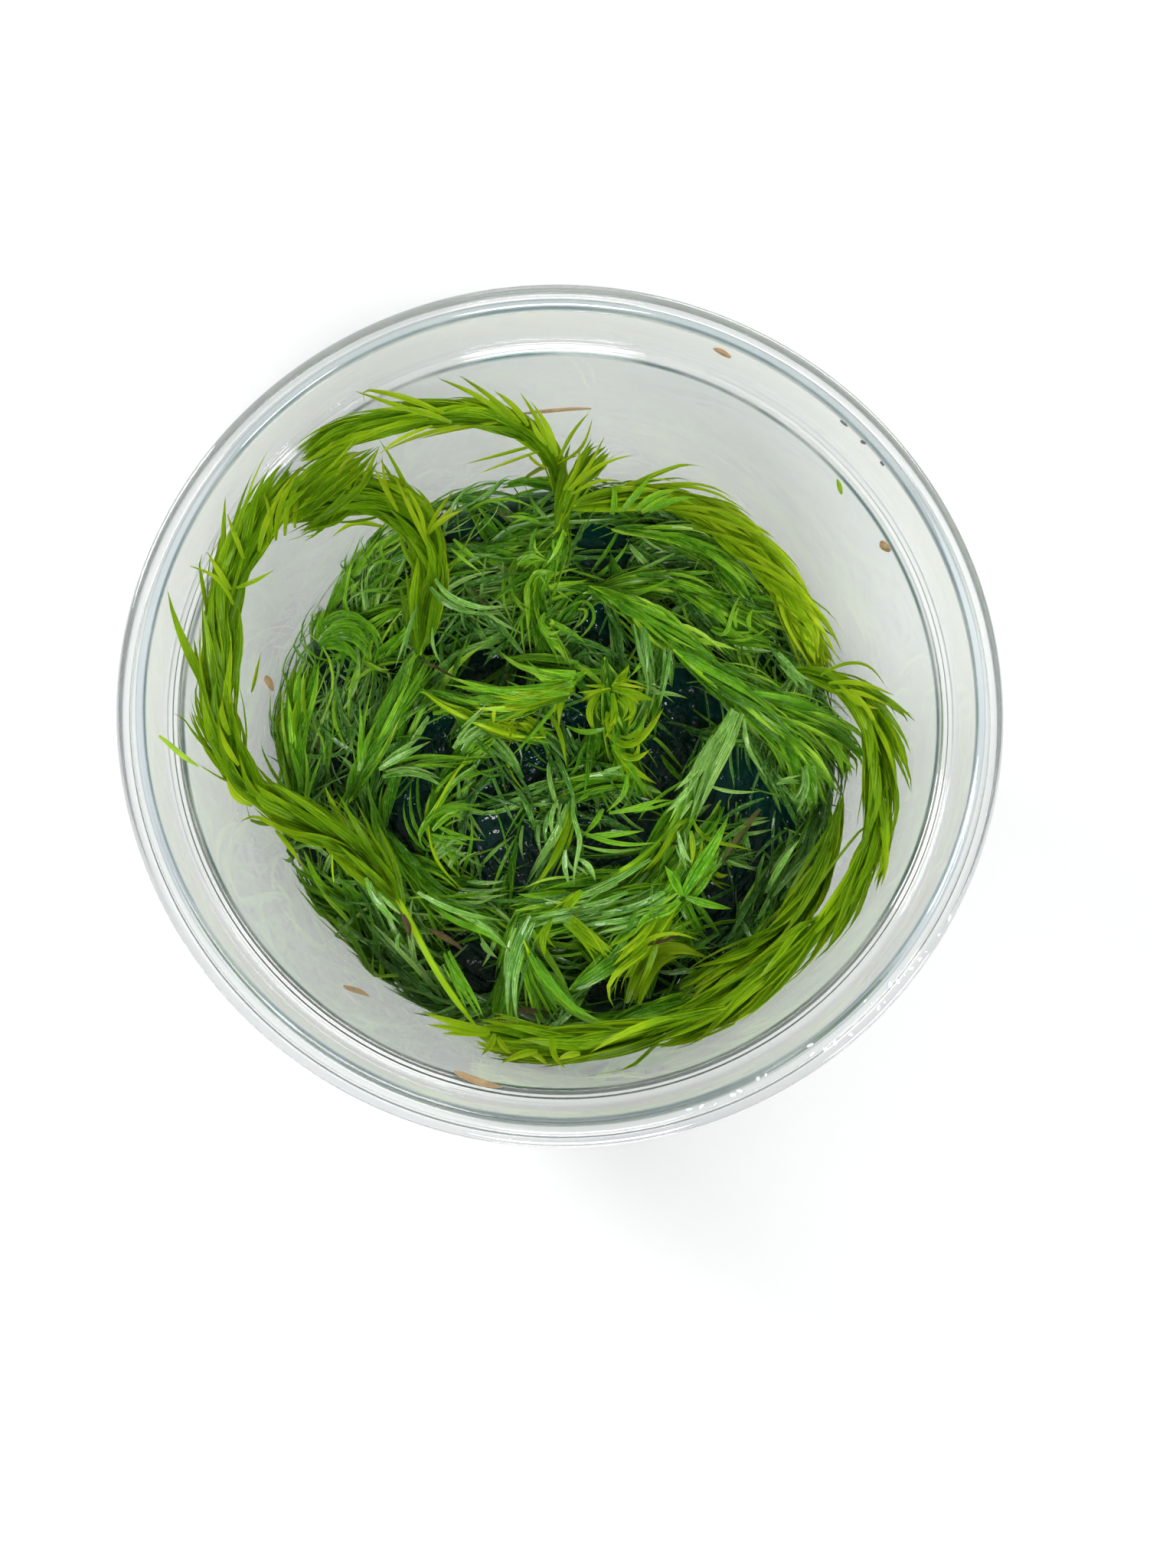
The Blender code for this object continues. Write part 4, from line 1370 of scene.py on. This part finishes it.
strands = {
    "leftSpray": ("leaf_deep", 1.2, 0.65, 12.0, (
        (756, 866, 705, 859, 652, 860), (752, 878, 700, 876, 665, 862, 648, 845),
        (750, 884, 715, 880, 672, 866), (748, 890, 722, 892, 696, 880), (668, 868, 668, 885, 660, 904),
        (665, 866, 645, 884, 612, 896))),
    "brightArc": ("leaf_bright", 1.0, 0.75, 12.0, (
        (748, 893, 715, 905, 680, 912, 640, 908), (748, 900, 700, 916, 660, 924, 612, 930),
        (752, 890, 735, 915, 730, 950), (556, 905, 585, 922, 612, 930, 640, 950),
        (600, 925, 640, 948, 680, 960, 712, 964), (640, 952, 643, 940, 656, 934),
        (655, 957, 658, 944, 668, 936), (672, 960, 668, 945, 676, 936), (700, 962, 688, 948, 676, 944),
        (712, 962, 702, 946, 688, 934))),
    "hangingLeaf": ("leaf_bright", 0.9, 0.55, 12.0, (
        (712, 926, 728, 950, 735, 972, 740, 1003),)),
    "upperBand": ("leaf_deep", 1.0, 0.6, 12.0, (
        (750, 895, 700, 902, 640, 902, 578, 893), (700, 912, 660, 905, 610, 892, 575, 880),
        (745, 905, 690, 908, 640, 898))),
    "rightCurls": ("leaf_bright", 1.2, 0.65, 14.0, (
        (792, 958, 820, 973, 846, 955, 867, 924), (800, 972, 822, 1000, 842, 1015, 858, 1024),
        (806, 985, 830, 990, 849, 979), (798, 900, 778, 905, 758, 916), (800, 898, 812, 885, 822, 868),
        (800, 900, 825, 905, 857, 916), (812, 905, 826, 925, 820, 950), (785, 900, 770, 930, 780, 962),
        (800, 905, 802, 935, 790, 965))),
    "rightTips": ("leaf_deep", 0.9, 0.6, 12.0, (
        (812, 985, 830, 1013, 845, 1034, 858, 1048), (795, 1062, 830, 1055, 855, 1047, 878, 1045),
        (820, 962, 836, 952, 842, 934), (790, 952, 762, 956, 736, 946), (820, 1008, 815, 1035, 791, 1061),
        (788, 1056, 777, 1074, 761, 1092), (758, 1086, 790, 1098, 825, 1103, 860, 1100),
        (765, 1092, 800, 1090, 842, 1085))),
    "paleTips": ("leaf_wet", 0.7, 0.85, 12.0, (
        (818, 896, 848, 898, 881, 918), (850, 905, 875, 906, 898, 912), (838, 1027, 852, 1031, 866, 1037),
        (782, 1028, 780, 1056, 786, 1089), (925, 1026, 955, 1034, 996, 1033),
        (1014, 1024, 1030, 1021, 1047, 1024), (650, 1214, 642, 1240, 629, 1264),
        (628, 1225, 638, 1240, 651, 1253))),
    "paleColumn": ("leaf_wet", 0.6, 0.6, 15.0, (
        (828, 815, 838, 860, 846, 898, 836, 930, 817, 960), (836, 820, 845, 860, 851, 890, 846, 915),
        (842, 818, 850, 850, 856, 885), (877, 850, 871, 880, 866, 905, 859, 928),
        (868, 846, 867, 878, 861, 902))),
    "leftTips": ("leaf_wet", 1.1, 0.75, 12.0, (
        (495, 1005, 530, 985, 563, 968), (500, 998, 525, 980, 550, 962), (560, 935, 545, 960, 520, 990),
        (500, 1015, 540, 1010, 582, 1030), (600, 972, 625, 950, 650, 940), (592, 978, 615, 955, 655, 958))),
    "leftLong": ("leaf_deep", 0.9, 0.5, 12.0, (
        (500, 1002, 550, 988, 600, 990, 652, 988), (505, 1010, 550, 1000, 600, 1003),
        (622, 1000, 588, 1028, 565, 1062, 547, 1093, 557, 1112),
        (548, 1095, 562, 1070, 600, 1056, 640, 1062), (565, 1085, 580, 1070, 612, 1050),
        (570, 1078, 595, 1090, 634, 1098), (563, 1090, 585, 1096, 614, 1104),
        (562, 1095, 580, 1108, 596, 1130))),
    "crossLeaf": ("leaf_wet", 0.9, 0.65, 13.0, (
        (600, 1058, 640, 1062, 690, 1048, 740, 1034, 770, 1012),
        (668, 1038, 700, 1026, 735, 1018, 770, 1012), (770, 1013, 795, 1010, 823, 1014),
        (700, 1052, 735, 1042, 765, 1025))),
    "paleStripes": ("leaf_wet", 0.7, 0.8, 12.5, (
        (596, 1052, 608, 1072, 628, 1098), (604, 1048, 618, 1072, 635, 1096),
        (568, 1120, 582, 1105, 602, 1092), (588, 1134, 596, 1116, 608, 1098),
        (620, 1112, 624, 1130, 629, 1153), (598, 1160, 630, 1164, 664, 1158),
        (596, 1168, 635, 1172, 668, 1166), (610, 1151, 640, 1153, 662, 1150),
        (626, 1133, 645, 1112, 673, 1090), (683, 1078, 680, 1100, 684, 1125))),
    "paleUprights": ("leaf_wet", 0.8, 0.72, 13.5, (
        (716, 1045, 705, 1072, 703, 1098, 712, 1127), (728, 1044, 720, 1068, 724, 1100),
        (748, 1040, 750, 1070, 757, 1095, 752, 1128, 749, 1162), (756, 1122, 769, 1131, 778, 1152),
        (738, 1110, 738, 1135, 746, 1160), (744, 1046, 733, 1080, 716, 1110, 697, 1140, 681, 1166),
        (740, 1050, 726, 1085, 706, 1118, 688, 1150))),
    "uprightLeaf": ("leaf_bright", 1.1, 0.55, 13.5, (
        (748, 1048, 742, 1080, 728, 1112, 708, 1145, 690, 1169),
        (745, 1052, 736, 1090, 718, 1128, 700, 1158))),
    "thinDark": ("leaf_deep", 0.4, 0.3, 12.0, (
        (684, 1060, 676, 1088, 671, 1121), (690, 970, 705, 990, 722, 1002),
        (640, 1112, 658, 1130, 682, 1142), (640, 1142, 668, 1136, 697, 1124),
        (660, 1010, 640, 1014, 615, 1000), (612, 1010, 620, 1035, 645, 1048))),
    "whiteColumn": ("leaf_wet", 1.2, 0.75, 16.0, (
        (957, 925, 937, 962, 914, 1000, 899, 1035, 893, 1063),
        (964, 930, 946, 968, 926, 1005, 911, 1040, 902, 1068),
        (970, 932, 956, 970, 935, 1012, 920, 1045, 908, 1069), (930, 972, 910, 1004, 880, 1034),
        (908, 1020, 888, 1044, 868, 1063), (960, 928, 940, 975, 918, 1020, 905, 1055))),
    "columnFork": ("leaf_bright", 0.9, 0.7, 14.0, (
        (905, 1068, 885, 1078, 872, 1098, 856, 1122, 835, 1142),
        (904, 1066, 910, 1082, 928, 1097, 955, 1104, 985, 1111), (902, 1085, 905, 1108, 903, 1131),
        (930, 1128, 944, 1124, 956, 1134), (928, 1136, 942, 1144, 952, 1142))),
    "forkTips": ("leaf_wet", 0.8, 0.8, 13.0, (
        (885, 1085, 890, 1110, 897, 1139), (912, 1066, 920, 1056, 930, 1050),
        (945, 1079, 975, 1077, 1007, 1071), (950, 1091, 980, 1089, 1012, 1082),
        (972, 938, 977, 975, 990, 1000, 1003, 1020), (940, 1120, 965, 1130, 990, 1134),
        (930, 1112, 960, 1118, 985, 1124))),
    "starLeaf": ("leaf_deep", 2.0, 0.35, 20.0, (
        (892, 1170, 912, 1135, 932, 1104, 952, 1064),)),
    "starLeaves": ("leaf_deep", 1.3, 0.45, 19.0, (
        (906, 1172, 924, 1145, 940, 1108), (896, 1172, 925, 1181, 956, 1187),
        (890, 1170, 880, 1150, 868, 1130), (888, 1176, 870, 1190, 846, 1198, 828, 1222))),
    "hookedLeaf": ("leaf_bright", 1.3, 0.6, 17.0, (
        (886, 1180, 862, 1212, 836, 1245, 806, 1270, 794, 1292, 803, 1318),
        (862, 1195, 858, 1225, 848, 1262, 820, 1317), (858, 1198, 836, 1225, 812, 1250, 800, 1262))),
    "frontArch": ("leaf_bright", 1.2, 0.8, 21.0, (
        (824, 1300, 838, 1264, 862, 1240, 894, 1238, 926, 1252),
        (828, 1306, 844, 1270, 868, 1246, 896, 1243, 924, 1252),
        (822, 1290, 834, 1260, 854, 1240, 884, 1234, 916, 1246),
        (834, 1312, 848, 1278, 870, 1254, 892, 1248), (818, 1310, 830, 1276, 846, 1252, 870, 1240))),
    "twistedLeaf": ("leaf_bright", 1.4, 0.5, 17.0, (
        (760, 1163, 742, 1183, 727, 1202), (722, 1198, 710, 1222, 712, 1252),
        (738, 1204, 765, 1224, 797, 1252), (742, 1200, 772, 1222, 800, 1246))),
    "frontPale": ("leaf_wet", 1.0, 0.6, 16.0, (
        (815, 1140, 775, 1160, 720, 1173, 667, 1176), (850, 1122, 800, 1152, 740, 1176, 690, 1182),
        (820, 1165, 770, 1184, 720, 1194, 680, 1206), (868, 1165, 830, 1184, 790, 1194, 735, 1204),
        (870, 1172, 830, 1198, 780, 1206, 740, 1214), (692, 1196, 672, 1238, 663, 1285, 664, 1336),
        (697, 1205, 680, 1246, 672, 1290, 676, 1340), (545, 1165, 590, 1188, 630, 1198, 663, 1203),
        (585, 1186, 625, 1206, 668, 1244), (478, 1146, 488, 1172, 505, 1195, 519, 1216),
        (440, 1198, 470, 1224, 502, 1244), (515, 1212, 504, 1230, 498, 1246))),
    "frontFork": ("leaf_deep", 0.9, 0.32, 16.0, (
        (560, 1180, 600, 1205, 640, 1222, 669, 1246), (580, 1245, 594, 1275, 610, 1302, 628, 1332),
        (586, 1242, 602, 1275, 620, 1305, 632, 1330), (690, 1240, 706, 1270, 735, 1302, 768, 1332),
        (700, 1250, 722, 1285, 750, 1315, 790, 1336))),
    "frontTips": ("outer_tips", 0.9, 0.55, 28.0, (
        (640, 1346, 602, 1338, 549, 1321), (640, 1350, 606, 1345, 557, 1338),
        (636, 1352, 612, 1350, 576, 1350), (646, 1350, 641, 1364, 629, 1378),
        (650, 1355, 657, 1366, 669, 1377), (702, 1372, 678, 1378, 654, 1389),
        (688, 1370, 704, 1381, 717, 1392), (722, 1354, 723, 1375, 739, 1396),
        (758, 1376, 742, 1378, 728, 1384))),
    "arcTips": ("outer_tips", 0.75, 0.75, 30.0, (
        (556, 700, 575, 664, 595, 638), (560, 697, 580, 674, 593, 659), (562, 692, 584, 676, 607, 665),
        (558, 712, 535, 664, 513, 615), (556, 704, 548, 668, 528, 633), (550, 690, 538, 668, 531, 645),
        (520, 668, 506, 640, 499, 595), (512, 655, 500, 632, 488, 610), (470, 640, 482, 612, 496, 582),
        (455, 640, 466, 606, 484, 586), (436, 640, 450, 605, 478, 588), (420, 650, 410, 628, 426, 600),
        (500, 688, 460, 684, 433, 702))),
    "loopJoin": ("leaf_bright", 1.4, 0.3, 40.0, (
        (395, 660, 425, 632, 460, 608, 496, 582), (400, 672, 436, 640, 470, 612, 492, 588),
        (388, 650, 415, 622, 448, 602, 484, 586), (380, 640, 400, 620, 430, 600, 470, 590),
        (410, 684, 450, 655, 480, 625, 494, 600))),
    "loopTips": ("outer_tips", 0.75, 0.65, 38.0, (
        (360, 706, 366, 662, 398, 606), (350, 712, 362, 650, 392, 612), (372, 700, 380, 650, 410, 608),
        (385, 690, 392, 640, 425, 604), (338, 720, 350, 676, 372, 640), (355, 700, 352, 670, 344, 640),
        (305, 790, 286, 758, 244, 738), (302, 770, 285, 745, 270, 720), (318, 730, 308, 702, 296, 670),
        (308, 768, 334, 758, 358, 744))),
    "edgeTips": ("outer_tips", 0.75, 0.55, 20.0, (
        (860, 664, 920, 664, 968, 674), (880, 668, 940, 680, 989, 698), (905, 690, 965, 706, 1008, 722),
        (940, 700, 990, 726, 1030, 752), (960, 728, 1012, 750, 1054, 776),
        (985, 745, 1030, 772, 1062, 795), (1005, 760, 1048, 788, 1074, 813),
        (1020, 790, 1056, 810, 1080, 831), (1035, 810, 1068, 838, 1088, 860),
        (1046, 832, 1074, 858, 1093, 876))),
    "tuftTips": ("leaf_deep", 1.2, 0.55, 24.0, (
        (812, 668, 834, 642, 852, 620), (800, 672, 803, 652, 800, 632), (830, 666, 858, 646, 891, 639),
        (848, 668, 878, 654, 908, 649), (838, 670, 860, 655, 877, 645))),
    "rightEndTips": ("outer_tips", 0.75, 0.6, 27.0, (
        (1072, 882, 1100, 868, 1130, 868, 1157, 897), (1082, 892, 1120, 892, 1145, 899, 1170, 909),
        (1090, 902, 1125, 906, 1162, 923), (1098, 896, 1122, 918, 1150, 926),
        (1128, 888, 1142, 908, 1156, 938, 1174, 960), (1110, 900, 1132, 925, 1150, 960),
        (1140, 940, 1158, 975, 1168, 1010), (1150, 1080, 1158, 1120, 1150, 1160),
        (1150, 1110, 1146, 1150, 1136, 1176))),
    "lowerTips": ("outer_tips", 0.9, 0.55, 24.0, (
        (402, 1092, 362, 1080, 327, 1067, 311, 1076), (360, 1084, 378, 1106, 397, 1133),
        (330, 1052, 308, 1040, 296, 1014), (300, 960, 292, 940, 290, 912), (300, 900, 280, 870, 276, 836),
        (312, 1000, 296, 975, 286, 945))),
    "backTips": ("outer_tips", 0.85, 0.5, 40.0, (
        (580, 540, 530, 520, 459, 506), (570, 546, 520, 530, 462, 510), (590, 552, 545, 536, 491, 534),
        (664, 546, 628, 520, 572, 494), (672, 548, 640, 518, 599, 490), (680, 552, 650, 526, 612, 500),
        (690, 556, 672, 532, 645, 510), (722, 592, 704, 552, 679, 512), (728, 596, 716, 560, 694, 525),
        (714, 582, 702, 566, 691, 544), (560, 548, 500, 560, 444, 592), (540, 552, 480, 566, 420, 598),
        (500, 560, 450, 574, 398, 604))),
    "pairTips": ("outer_tips", 0.65, 0.75, 33.0, (
        (704, 580, 660, 592, 608, 606), (708, 588, 668, 602, 624, 619), (690, 594, 706, 608, 720, 612),
        (650, 552, 600, 560, 545, 574), (600, 556, 545, 570, 500, 590), (565, 556, 525, 572, 492, 596),
        (730, 600, 748, 565, 772, 536), (728, 606, 756, 588, 774, 545), (742, 640, 768, 610, 790, 568),
        (736, 640, 752, 615, 758, 582), (745, 640, 790, 605, 828, 594), (748, 645, 785, 628, 812, 628))),
    "leftWisps": ("leaf_deep", 0.6, 0.55, 20.0, (
        (506, 736, 498, 722, 499, 706), (500, 705, 492, 712, 484, 721),
        (520, 738, 495, 734, 482, 748, 476, 771), (512, 768, 485, 771, 458, 776),
        (457, 776, 462, 768, 471, 756), (458, 802, 451, 788, 455, 768))),
    "leftTuft": ("leaf_deep", 1.1, 0.4, 17.0, (
        (416, 830, 436, 808, 466, 806, 490, 830, 494, 862), (416, 838, 436, 820, 462, 820, 484, 845),
        (416, 840, 440, 832, 464, 838, 482, 866), (416, 842, 436, 842, 456, 852, 470, 874),
        (415, 836, 426, 810, 440, 796), (415, 834, 418, 812, 424, 794))),
    "leftThread": ("leaf_wet", 0.5, 0.7, 14.0, (
        (420, 844, 438, 856, 442, 875, 426, 912, 405, 950), (565, 820, 567, 848, 578, 870),
        (545, 790, 535, 825, 526, 866), (540, 800, 528, 838, 516, 872))),
    "leftFringe": ("leaf_bright", 0.9, 0.45, 16.0, (
        (381, 956, 378, 908, 389, 863), (373, 986, 364, 952, 362, 924), (384, 970, 371, 935, 366, 904),
        (386, 960, 384, 935, 389, 911), (402, 945, 396, 910, 400, 881))),
    "backSweep": ("leaf_wet", 1.0, 0.6, 15.0, (
        (568, 756, 582, 774, 604, 787, 640, 794, 668, 788), (590, 857, 622, 847, 668, 834),
        (600, 850, 640, 838, 674, 826))),
    "backCurls": ("leaf_deep", 0.8, 0.7, 17.0, (
        (745, 792, 765, 786, 776, 802, 765, 826, 752, 838), (712, 800, 706, 814, 720, 828, 736, 818),
        (678, 735, 668, 760, 678, 790, 698, 806), (676, 738, 692, 727, 716, 734),
        (690, 765, 700, 748, 726, 748), (700, 690, 694, 718, 704, 744), (736, 692, 728, 716, 712, 740),
        (706, 684, 684, 676, 658, 675), (592, 704, 612, 722, 638, 744))),
    "rightBody": ("leaf_deep", 1.2, 0.48, 16.0, (
        (926, 830, 955, 838, 985, 842, 1016, 848), (930, 822, 960, 828, 990, 834, 1018, 842),
        (935, 838, 965, 846, 995, 850, 1014, 852))),
    "rightSwirls": ("leaf_deep", 0.75, 0.7, 18.0, (
        (928, 822, 944, 829, 956, 802, 969, 774), (930, 818, 955, 826, 990, 824),
        (962, 820, 960, 806, 966, 792), (980, 824, 978, 808, 984, 794), (1000, 776, 1013, 790, 1008, 808))),
    "rightWet": ("leaf_wet", 1.0, 0.65, 13.0, (
        (1008, 1018, 1012, 1040, 1021, 1064), (1052, 1000, 1053, 1030, 1040, 1062),
        (1062, 1000, 1063, 1035, 1050, 1066), (1020, 1028, 1030, 1045, 1041, 1059),
        (1000, 1166, 1020, 1130, 1046, 1094), (1010, 1170, 1040, 1134, 1068, 1104),
        (990, 1200, 1012, 1160, 1034, 1120), (1016, 852, 1036, 876, 1056, 902))),
    "deadBits": ("dead_bits", 0.5, 0.25, 13.0, (
        (475, 1196, 486, 1208, 496, 1218), (523, 1190, 530, 1208, 538, 1232),
        (527, 1194, 536, 1216, 534, 1228), (612, 865, 616, 848, 621, 830), (552, 863, 578, 876, 606, 893),
        (845, 1234, 870, 1228, 896, 1219), (862, 1100, 880, 1102, 898, 1098))),
    "deadFlat": ("dead_bits", 0.8, 0.25, 14.0, (
        (672, 1318, 696, 1320, 720, 1322), (562, 1214, 584, 1226, 606, 1240))),
}
runners = {     # bare stems: thickness in mm, least height in mm and lines
    "brightArc": (0.75, 13.0, ((553, 903, 578, 922, 605, 936, 645, 953, 682, 962, 713, 963),)),
    "crossLeaf": (0.55, 13.5, ((668, 1057, 702, 1050, 738, 1038, 762, 1022, 773, 1006),)),
    "leftCurl": (0.5, 13.0, (
        (612, 985, 592, 1015, 577, 1040, 565, 1066),
        (560, 1078, 562, 1100, 570, 1122, 584, 1142, 602, 1160),
        (668, 966, 662, 985, 668, 1010, 684, 1033))),
    "frontStrand": (0.8, 17.0, ((684, 1228, 700, 1263, 726, 1296, 752, 1322),)),
    "rightStem": (0.6, 13.0, ((984, 972, 992, 992, 1003, 1015, 1012, 1032),)),
    "column": (0.55, 14.0, ((743, 1062, 732, 1090, 722, 1108),)),
    "left": (0.55, 14.0, ((434, 1116, 434, 1134, 436, 1152),)),
}
bundle = {              # thinner leaves beside each strand
    "steps": 12,
    "runnerSteps": 24,
    "count": 5,
    "apart": 6.0,       # pixels
    "splay": 8.0,       # pixels at their ends
    "width": (0.28, 0.62),
    "tone": (-0.08, 0.22),          # middle and spread, off the group's tone
    "roll": 0.5,
    "sink": 1.2,        # mm, the most that they lie lower
    "strays": 0.05,
    "strandWidth": (0.70, 0.95),    # of the strand itself, as a share of its group's width
    "strandTone": (-0.05, 0.08),
    "strandRoll": 0.2,
    "slots": {"outer_tips": "leaf_bright", "dead_bits": "dead_leaf"},
    "lone": ("deadBits", "deadFlat", "rightSwirls", "frontTips", "arcTips", "leftWisps", "leftThread",
             "leftFringe", "backTips", "thinDark", "hangingLeaf", "starLeaf", "loopTips", "pairTips",
             "edgeTips", "tuftTips", "rightEndTips", "lowerTips"),
}
resting = {             # how the strands lie on what carries them
    "fall": 0.05,           # how sharply a strand drops off what it lies on, per mm squared
    "lift": 0.5,            # mm
    "foliage": 1.25,        # how far the leaves stand out, as a share of a shoot's radius
    "passes": 4,
}


def restHeights(x, y):  # the top of what is laid at each place
    flat = (x[:, None] - laidDown[None, :, 0]) ** 2 + (y[:, None] - laidDown[None, :, 1]) ** 2
    size = laidDown[None, :, 3] * resting["foliage"]
    over = laidDown[None, :, 2] + np.sqrt(np.maximum(size ** 2 - flat, 0.0))
    over = np.where(flat < size ** 2, over, -np.inf).max(axis=1)
    return np.maximum(over, gel["top"] + leaf["gelGap"])


def strandLine(pixels, least, count):  # a line of the picture, laid on what carries it
    flat = smoothLine(np.reshape(pixels, (-1, 2)), count)[0]
    height = np.full(count, float(least))
    for turn in range(resting["passes"]):
        places = np.array([seenAt(x, y, z) for (x, y), z in zip(flat, height)])
        rest = np.maximum(restHeights(places[:, 0], places[:, 1]) + resting["lift"], least)
        along = runAlong(places[:, :2])
        falls = resting["fall"] * (along[:, None] - along[None, :]) ** 2
        height = (rest[None, :] - falls).max(axis=1)
    return keepInside(np.array([seenAt(x, y, z) for (x, y), z in zip(flat, height)]))


def besideLines(lines, rng):  # more lines that run beside the given ones
    made = []
    for pixels in lines:
        line = smoothLine(np.reshape(pixels, (-1, 2)), 40)[0]
        sideways = unit(np.gradient(line, axis=0))[:, ::-1] * (1, -1)
        for turn in range(bundle["count"]):
            first = rng.integers(0, 16)
            last = rng.integers(28, 40)
            t = np.linspace(0, 1, last - first)[:, None]
            apart = rng.normal(0, bundle["apart"]) + rng.normal(0, bundle["splay"]) * t ** 2
            moved = line[first:last] + sideways[first:last] * apart
            made.append(moved[[0, len(moved) // 3, 2 * len(moved) // 3, -1]])
    return made


def makeStrands():
    rng = np.random.default_rng(93)
    parts = {look: [] for look in looks}
    steps = bundle["steps"]
    for name, (look, width, tone, least, lines) in strands.items():
        centres = np.array([strandLine(pixels, least, steps) for pixels in lines])
        widths = width * rng.uniform(*bundle["strandWidth"], len(lines))
        tones = np.clip(tone + rng.normal(*bundle["strandTone"], len(lines)), 0, 1)
        parts[look].append(flatBlades(centres, widths, tones, rng, bundle["strandRoll"]))
        if name in bundle["lone"]:
            continue
        lowest = least - bundle["sink"]
        centres = np.array([strandLine(pixels, lowest + rng.uniform(0, bundle["sink"]), steps)
                            for pixels in besideLines(lines, rng)])
        centres = centres[outOfHollows(centres, rng, bundle["strays"])]
        widths = rng.uniform(*bundle["width"], len(centres))
        tones = np.clip(tone + rng.normal(*bundle["tone"], len(centres)), 0, 1)
        parts[look].append(flatBlades(centres, widths, tones, rng, bundle["roll"]))
    for look, made in parts.items():
        addPiece(look.replace("leaf_", "strands_"), joinMeshes(made), finishes[look])
    stems = [stemTube(strandLine(pixels, least, bundle["runnerSteps"]), width / 2, 1.0, 0.5, 0.75)
             for width, least, lines in runners.values() for pixels in lines]
    addPiece("bare_stems", joinMeshes(stems), finishes["leaf_bright"])


makeStrands()
print("strands made")


# Loose scraps, sizes in mm: material, length, width, angle and height of the middle, turn in degrees
# from level, surface

scraps = (
    ("dead_leaf_long", "dead_leaf", 10.0, 0.8, 91.6, 31.0, 6, "wall"),
    ("dead_leaf_short", "dead_leaf", 4.6, 0.8, 73.5, 16.5, 2, "wall"),
    ("dead_scrap_seat", "dead_leaf", 2.4, 1.0, 65.8, 46.0, 0, "seat"),
    ("dead_scrap_right", "dead_leaf", 2.2, 1.5, 26.7, 40.9, 70, "wall"),
    ("dead_husk", "dead_leaf", 4.0, 1.4, 169.0, 19.5, 80, "wall"),
    ("dead_sliver_front", "dead_leaf", 3.5, 0.9, 232.9, 29.5, 20, "off the wall"),
    ("dead_strip_front", "dead_leaf", 5.6, 1.0, 257.2, 41.6, -6, "ledge"),
    ("green_scrap_right", "leaf_bright", 2.2, 0.9, 39.1, 40.6, -36, "wall"),
    ("loose_leaf_left", "leaf_bright", 5.8, 0.7, 188.6, 43.2, 52, "ledge"),
)
scrap = {
    "steps": 13,
    "gap": 0.35,
    "fold": 0.25,
    "wobble": 0.12,         # as a share of the width
    "butt": 0.07,           # how blunt the first end is
    "fullness": 0.6,
    "seatFoot": (0.9, 1.4), # inside the lip, and over the ledge
    "surfaces": {           # lean in radians, how far outside the ledge's edge, how far off
        "ledge": (math.radians(48), 0.6, 0.55),
        "off the wall": (math.radians(40), 0.0, 0.3),
    },
    "colours": {
        "dead_leaf": ((0.22, 0.12, 0.045, 1), (0.52, 0.37, 0.20, 1)),
        "leaf_bright": ((0.12, 0.27, 0.005, 1), (0.36, 0.55, 0.02, 1)),
    },
}


def surfaceUnder(surface, height):
    if surface == "seat":
        inset, rise = scrap["seatFoot"]
        foot = cup["lipRadius"] - inset
        footHeight = cup["ledgeHeight"] + rise
        slope = (cup["lipRadius"] - foot) / (cup["height"] - cup["lipDrop"] - footHeight)
        return foot + (height - footHeight) * slope, math.atan(slope), 0.0
    if surface == "wall":
        return wallRadius(height), math.atan(cup["draft"]), 0.0
    lean, out, shift = scrap["surfaces"][surface]
    radius = cup["ledgeRadius"] + out if surface == "ledge" else wallRadius(height)
    return radius, lean, shift


def scrapFinish(name, colours):
    dry = Finish(name)
    grain = dry.noise(900.0, 4.0, 0.65)
    streak = dry.node("ShaderNodeMath", {"operation": "COSINE"}, {0: dry.attribute("across") * 14.0})
    shade = dry.ramp(grain * 1.2 + streak * 0.15 - 0.1, ((0.2, colours[0]), (0.75, colours[1])))
    blade = dry.principled({
        "Base Color": shade,
        "Roughness": 0.45 + grain * 0.25,
        "Normal": dry.bump(grain + streak * 0.4, 0.00008, 0.7),
    })
    glow = dry.node("ShaderNodeBsdfTranslucent", values={"Color": colours[1]})
    return dry.close(dry.node("ShaderNodeMixShader", values={0: 0.3, 1: blade, 2: glow}))


def makeScraps():
    made = {key: scrapFinish("scrap" + key.title().replace("_", ""), colours)
            for key, colours in scrap["colours"].items()}
    t = np.linspace(0, 1, scrap["steps"])
    halves = np.sin(np.clip(t * (1 - scrap["butt"]) + scrap["butt"], 0, 1) * math.pi) ** scrap["fullness"]
    for number, (name, kind, length, width, angle, height, turn, surface) in enumerate(scraps):
        rng = np.random.default_rng(500 + number)
        radius, lean, shift = surfaceUnder(surface, height)
        angle = math.radians(angle)
        turn = math.radians(turn)
        outward = np.array((math.cos(angle), math.sin(angle), 0.0))
        level = np.array((-outward[1], outward[0], 0.0))
        normal = -outward * math.cos(lean) + (0.0, 0.0, math.sin(lean))
        longAxis = level * math.cos(turn) + np.cross(normal, level) * math.sin(turn)
        shortAxis = np.cross(normal, longAxis)
        on = (t - 0.5) * length
        off = scrap["gap"] + (on * math.cos(turn)) ** 2 / (2 * radius) + shift
        wobble = np.sin(t * rng.uniform(3, 6) + rng.uniform(0, 6)) * width * scrap["wobble"]
        middle = outward * radius + (0.0, 0.0, height)
        centres = middle + on[:, None] * longAxis + off[:, None] * normal + wobble[:, None] * shortAxis
        across = np.repeat(shortAxis[None], len(t), axis=0)
        blade = bladePoints(centres[None], across[None], (width / 2 * halves)[None], scrap["fold"])
        ownName = name.replace("dead_", "dry_").replace("green_", "fresh_").replace("loose_", "stray_")
        addPiece(ownName, bladeMesh(blade, [0.5], [0.0]), made[kind], (name,))


makeScraps()
print("scraps made")
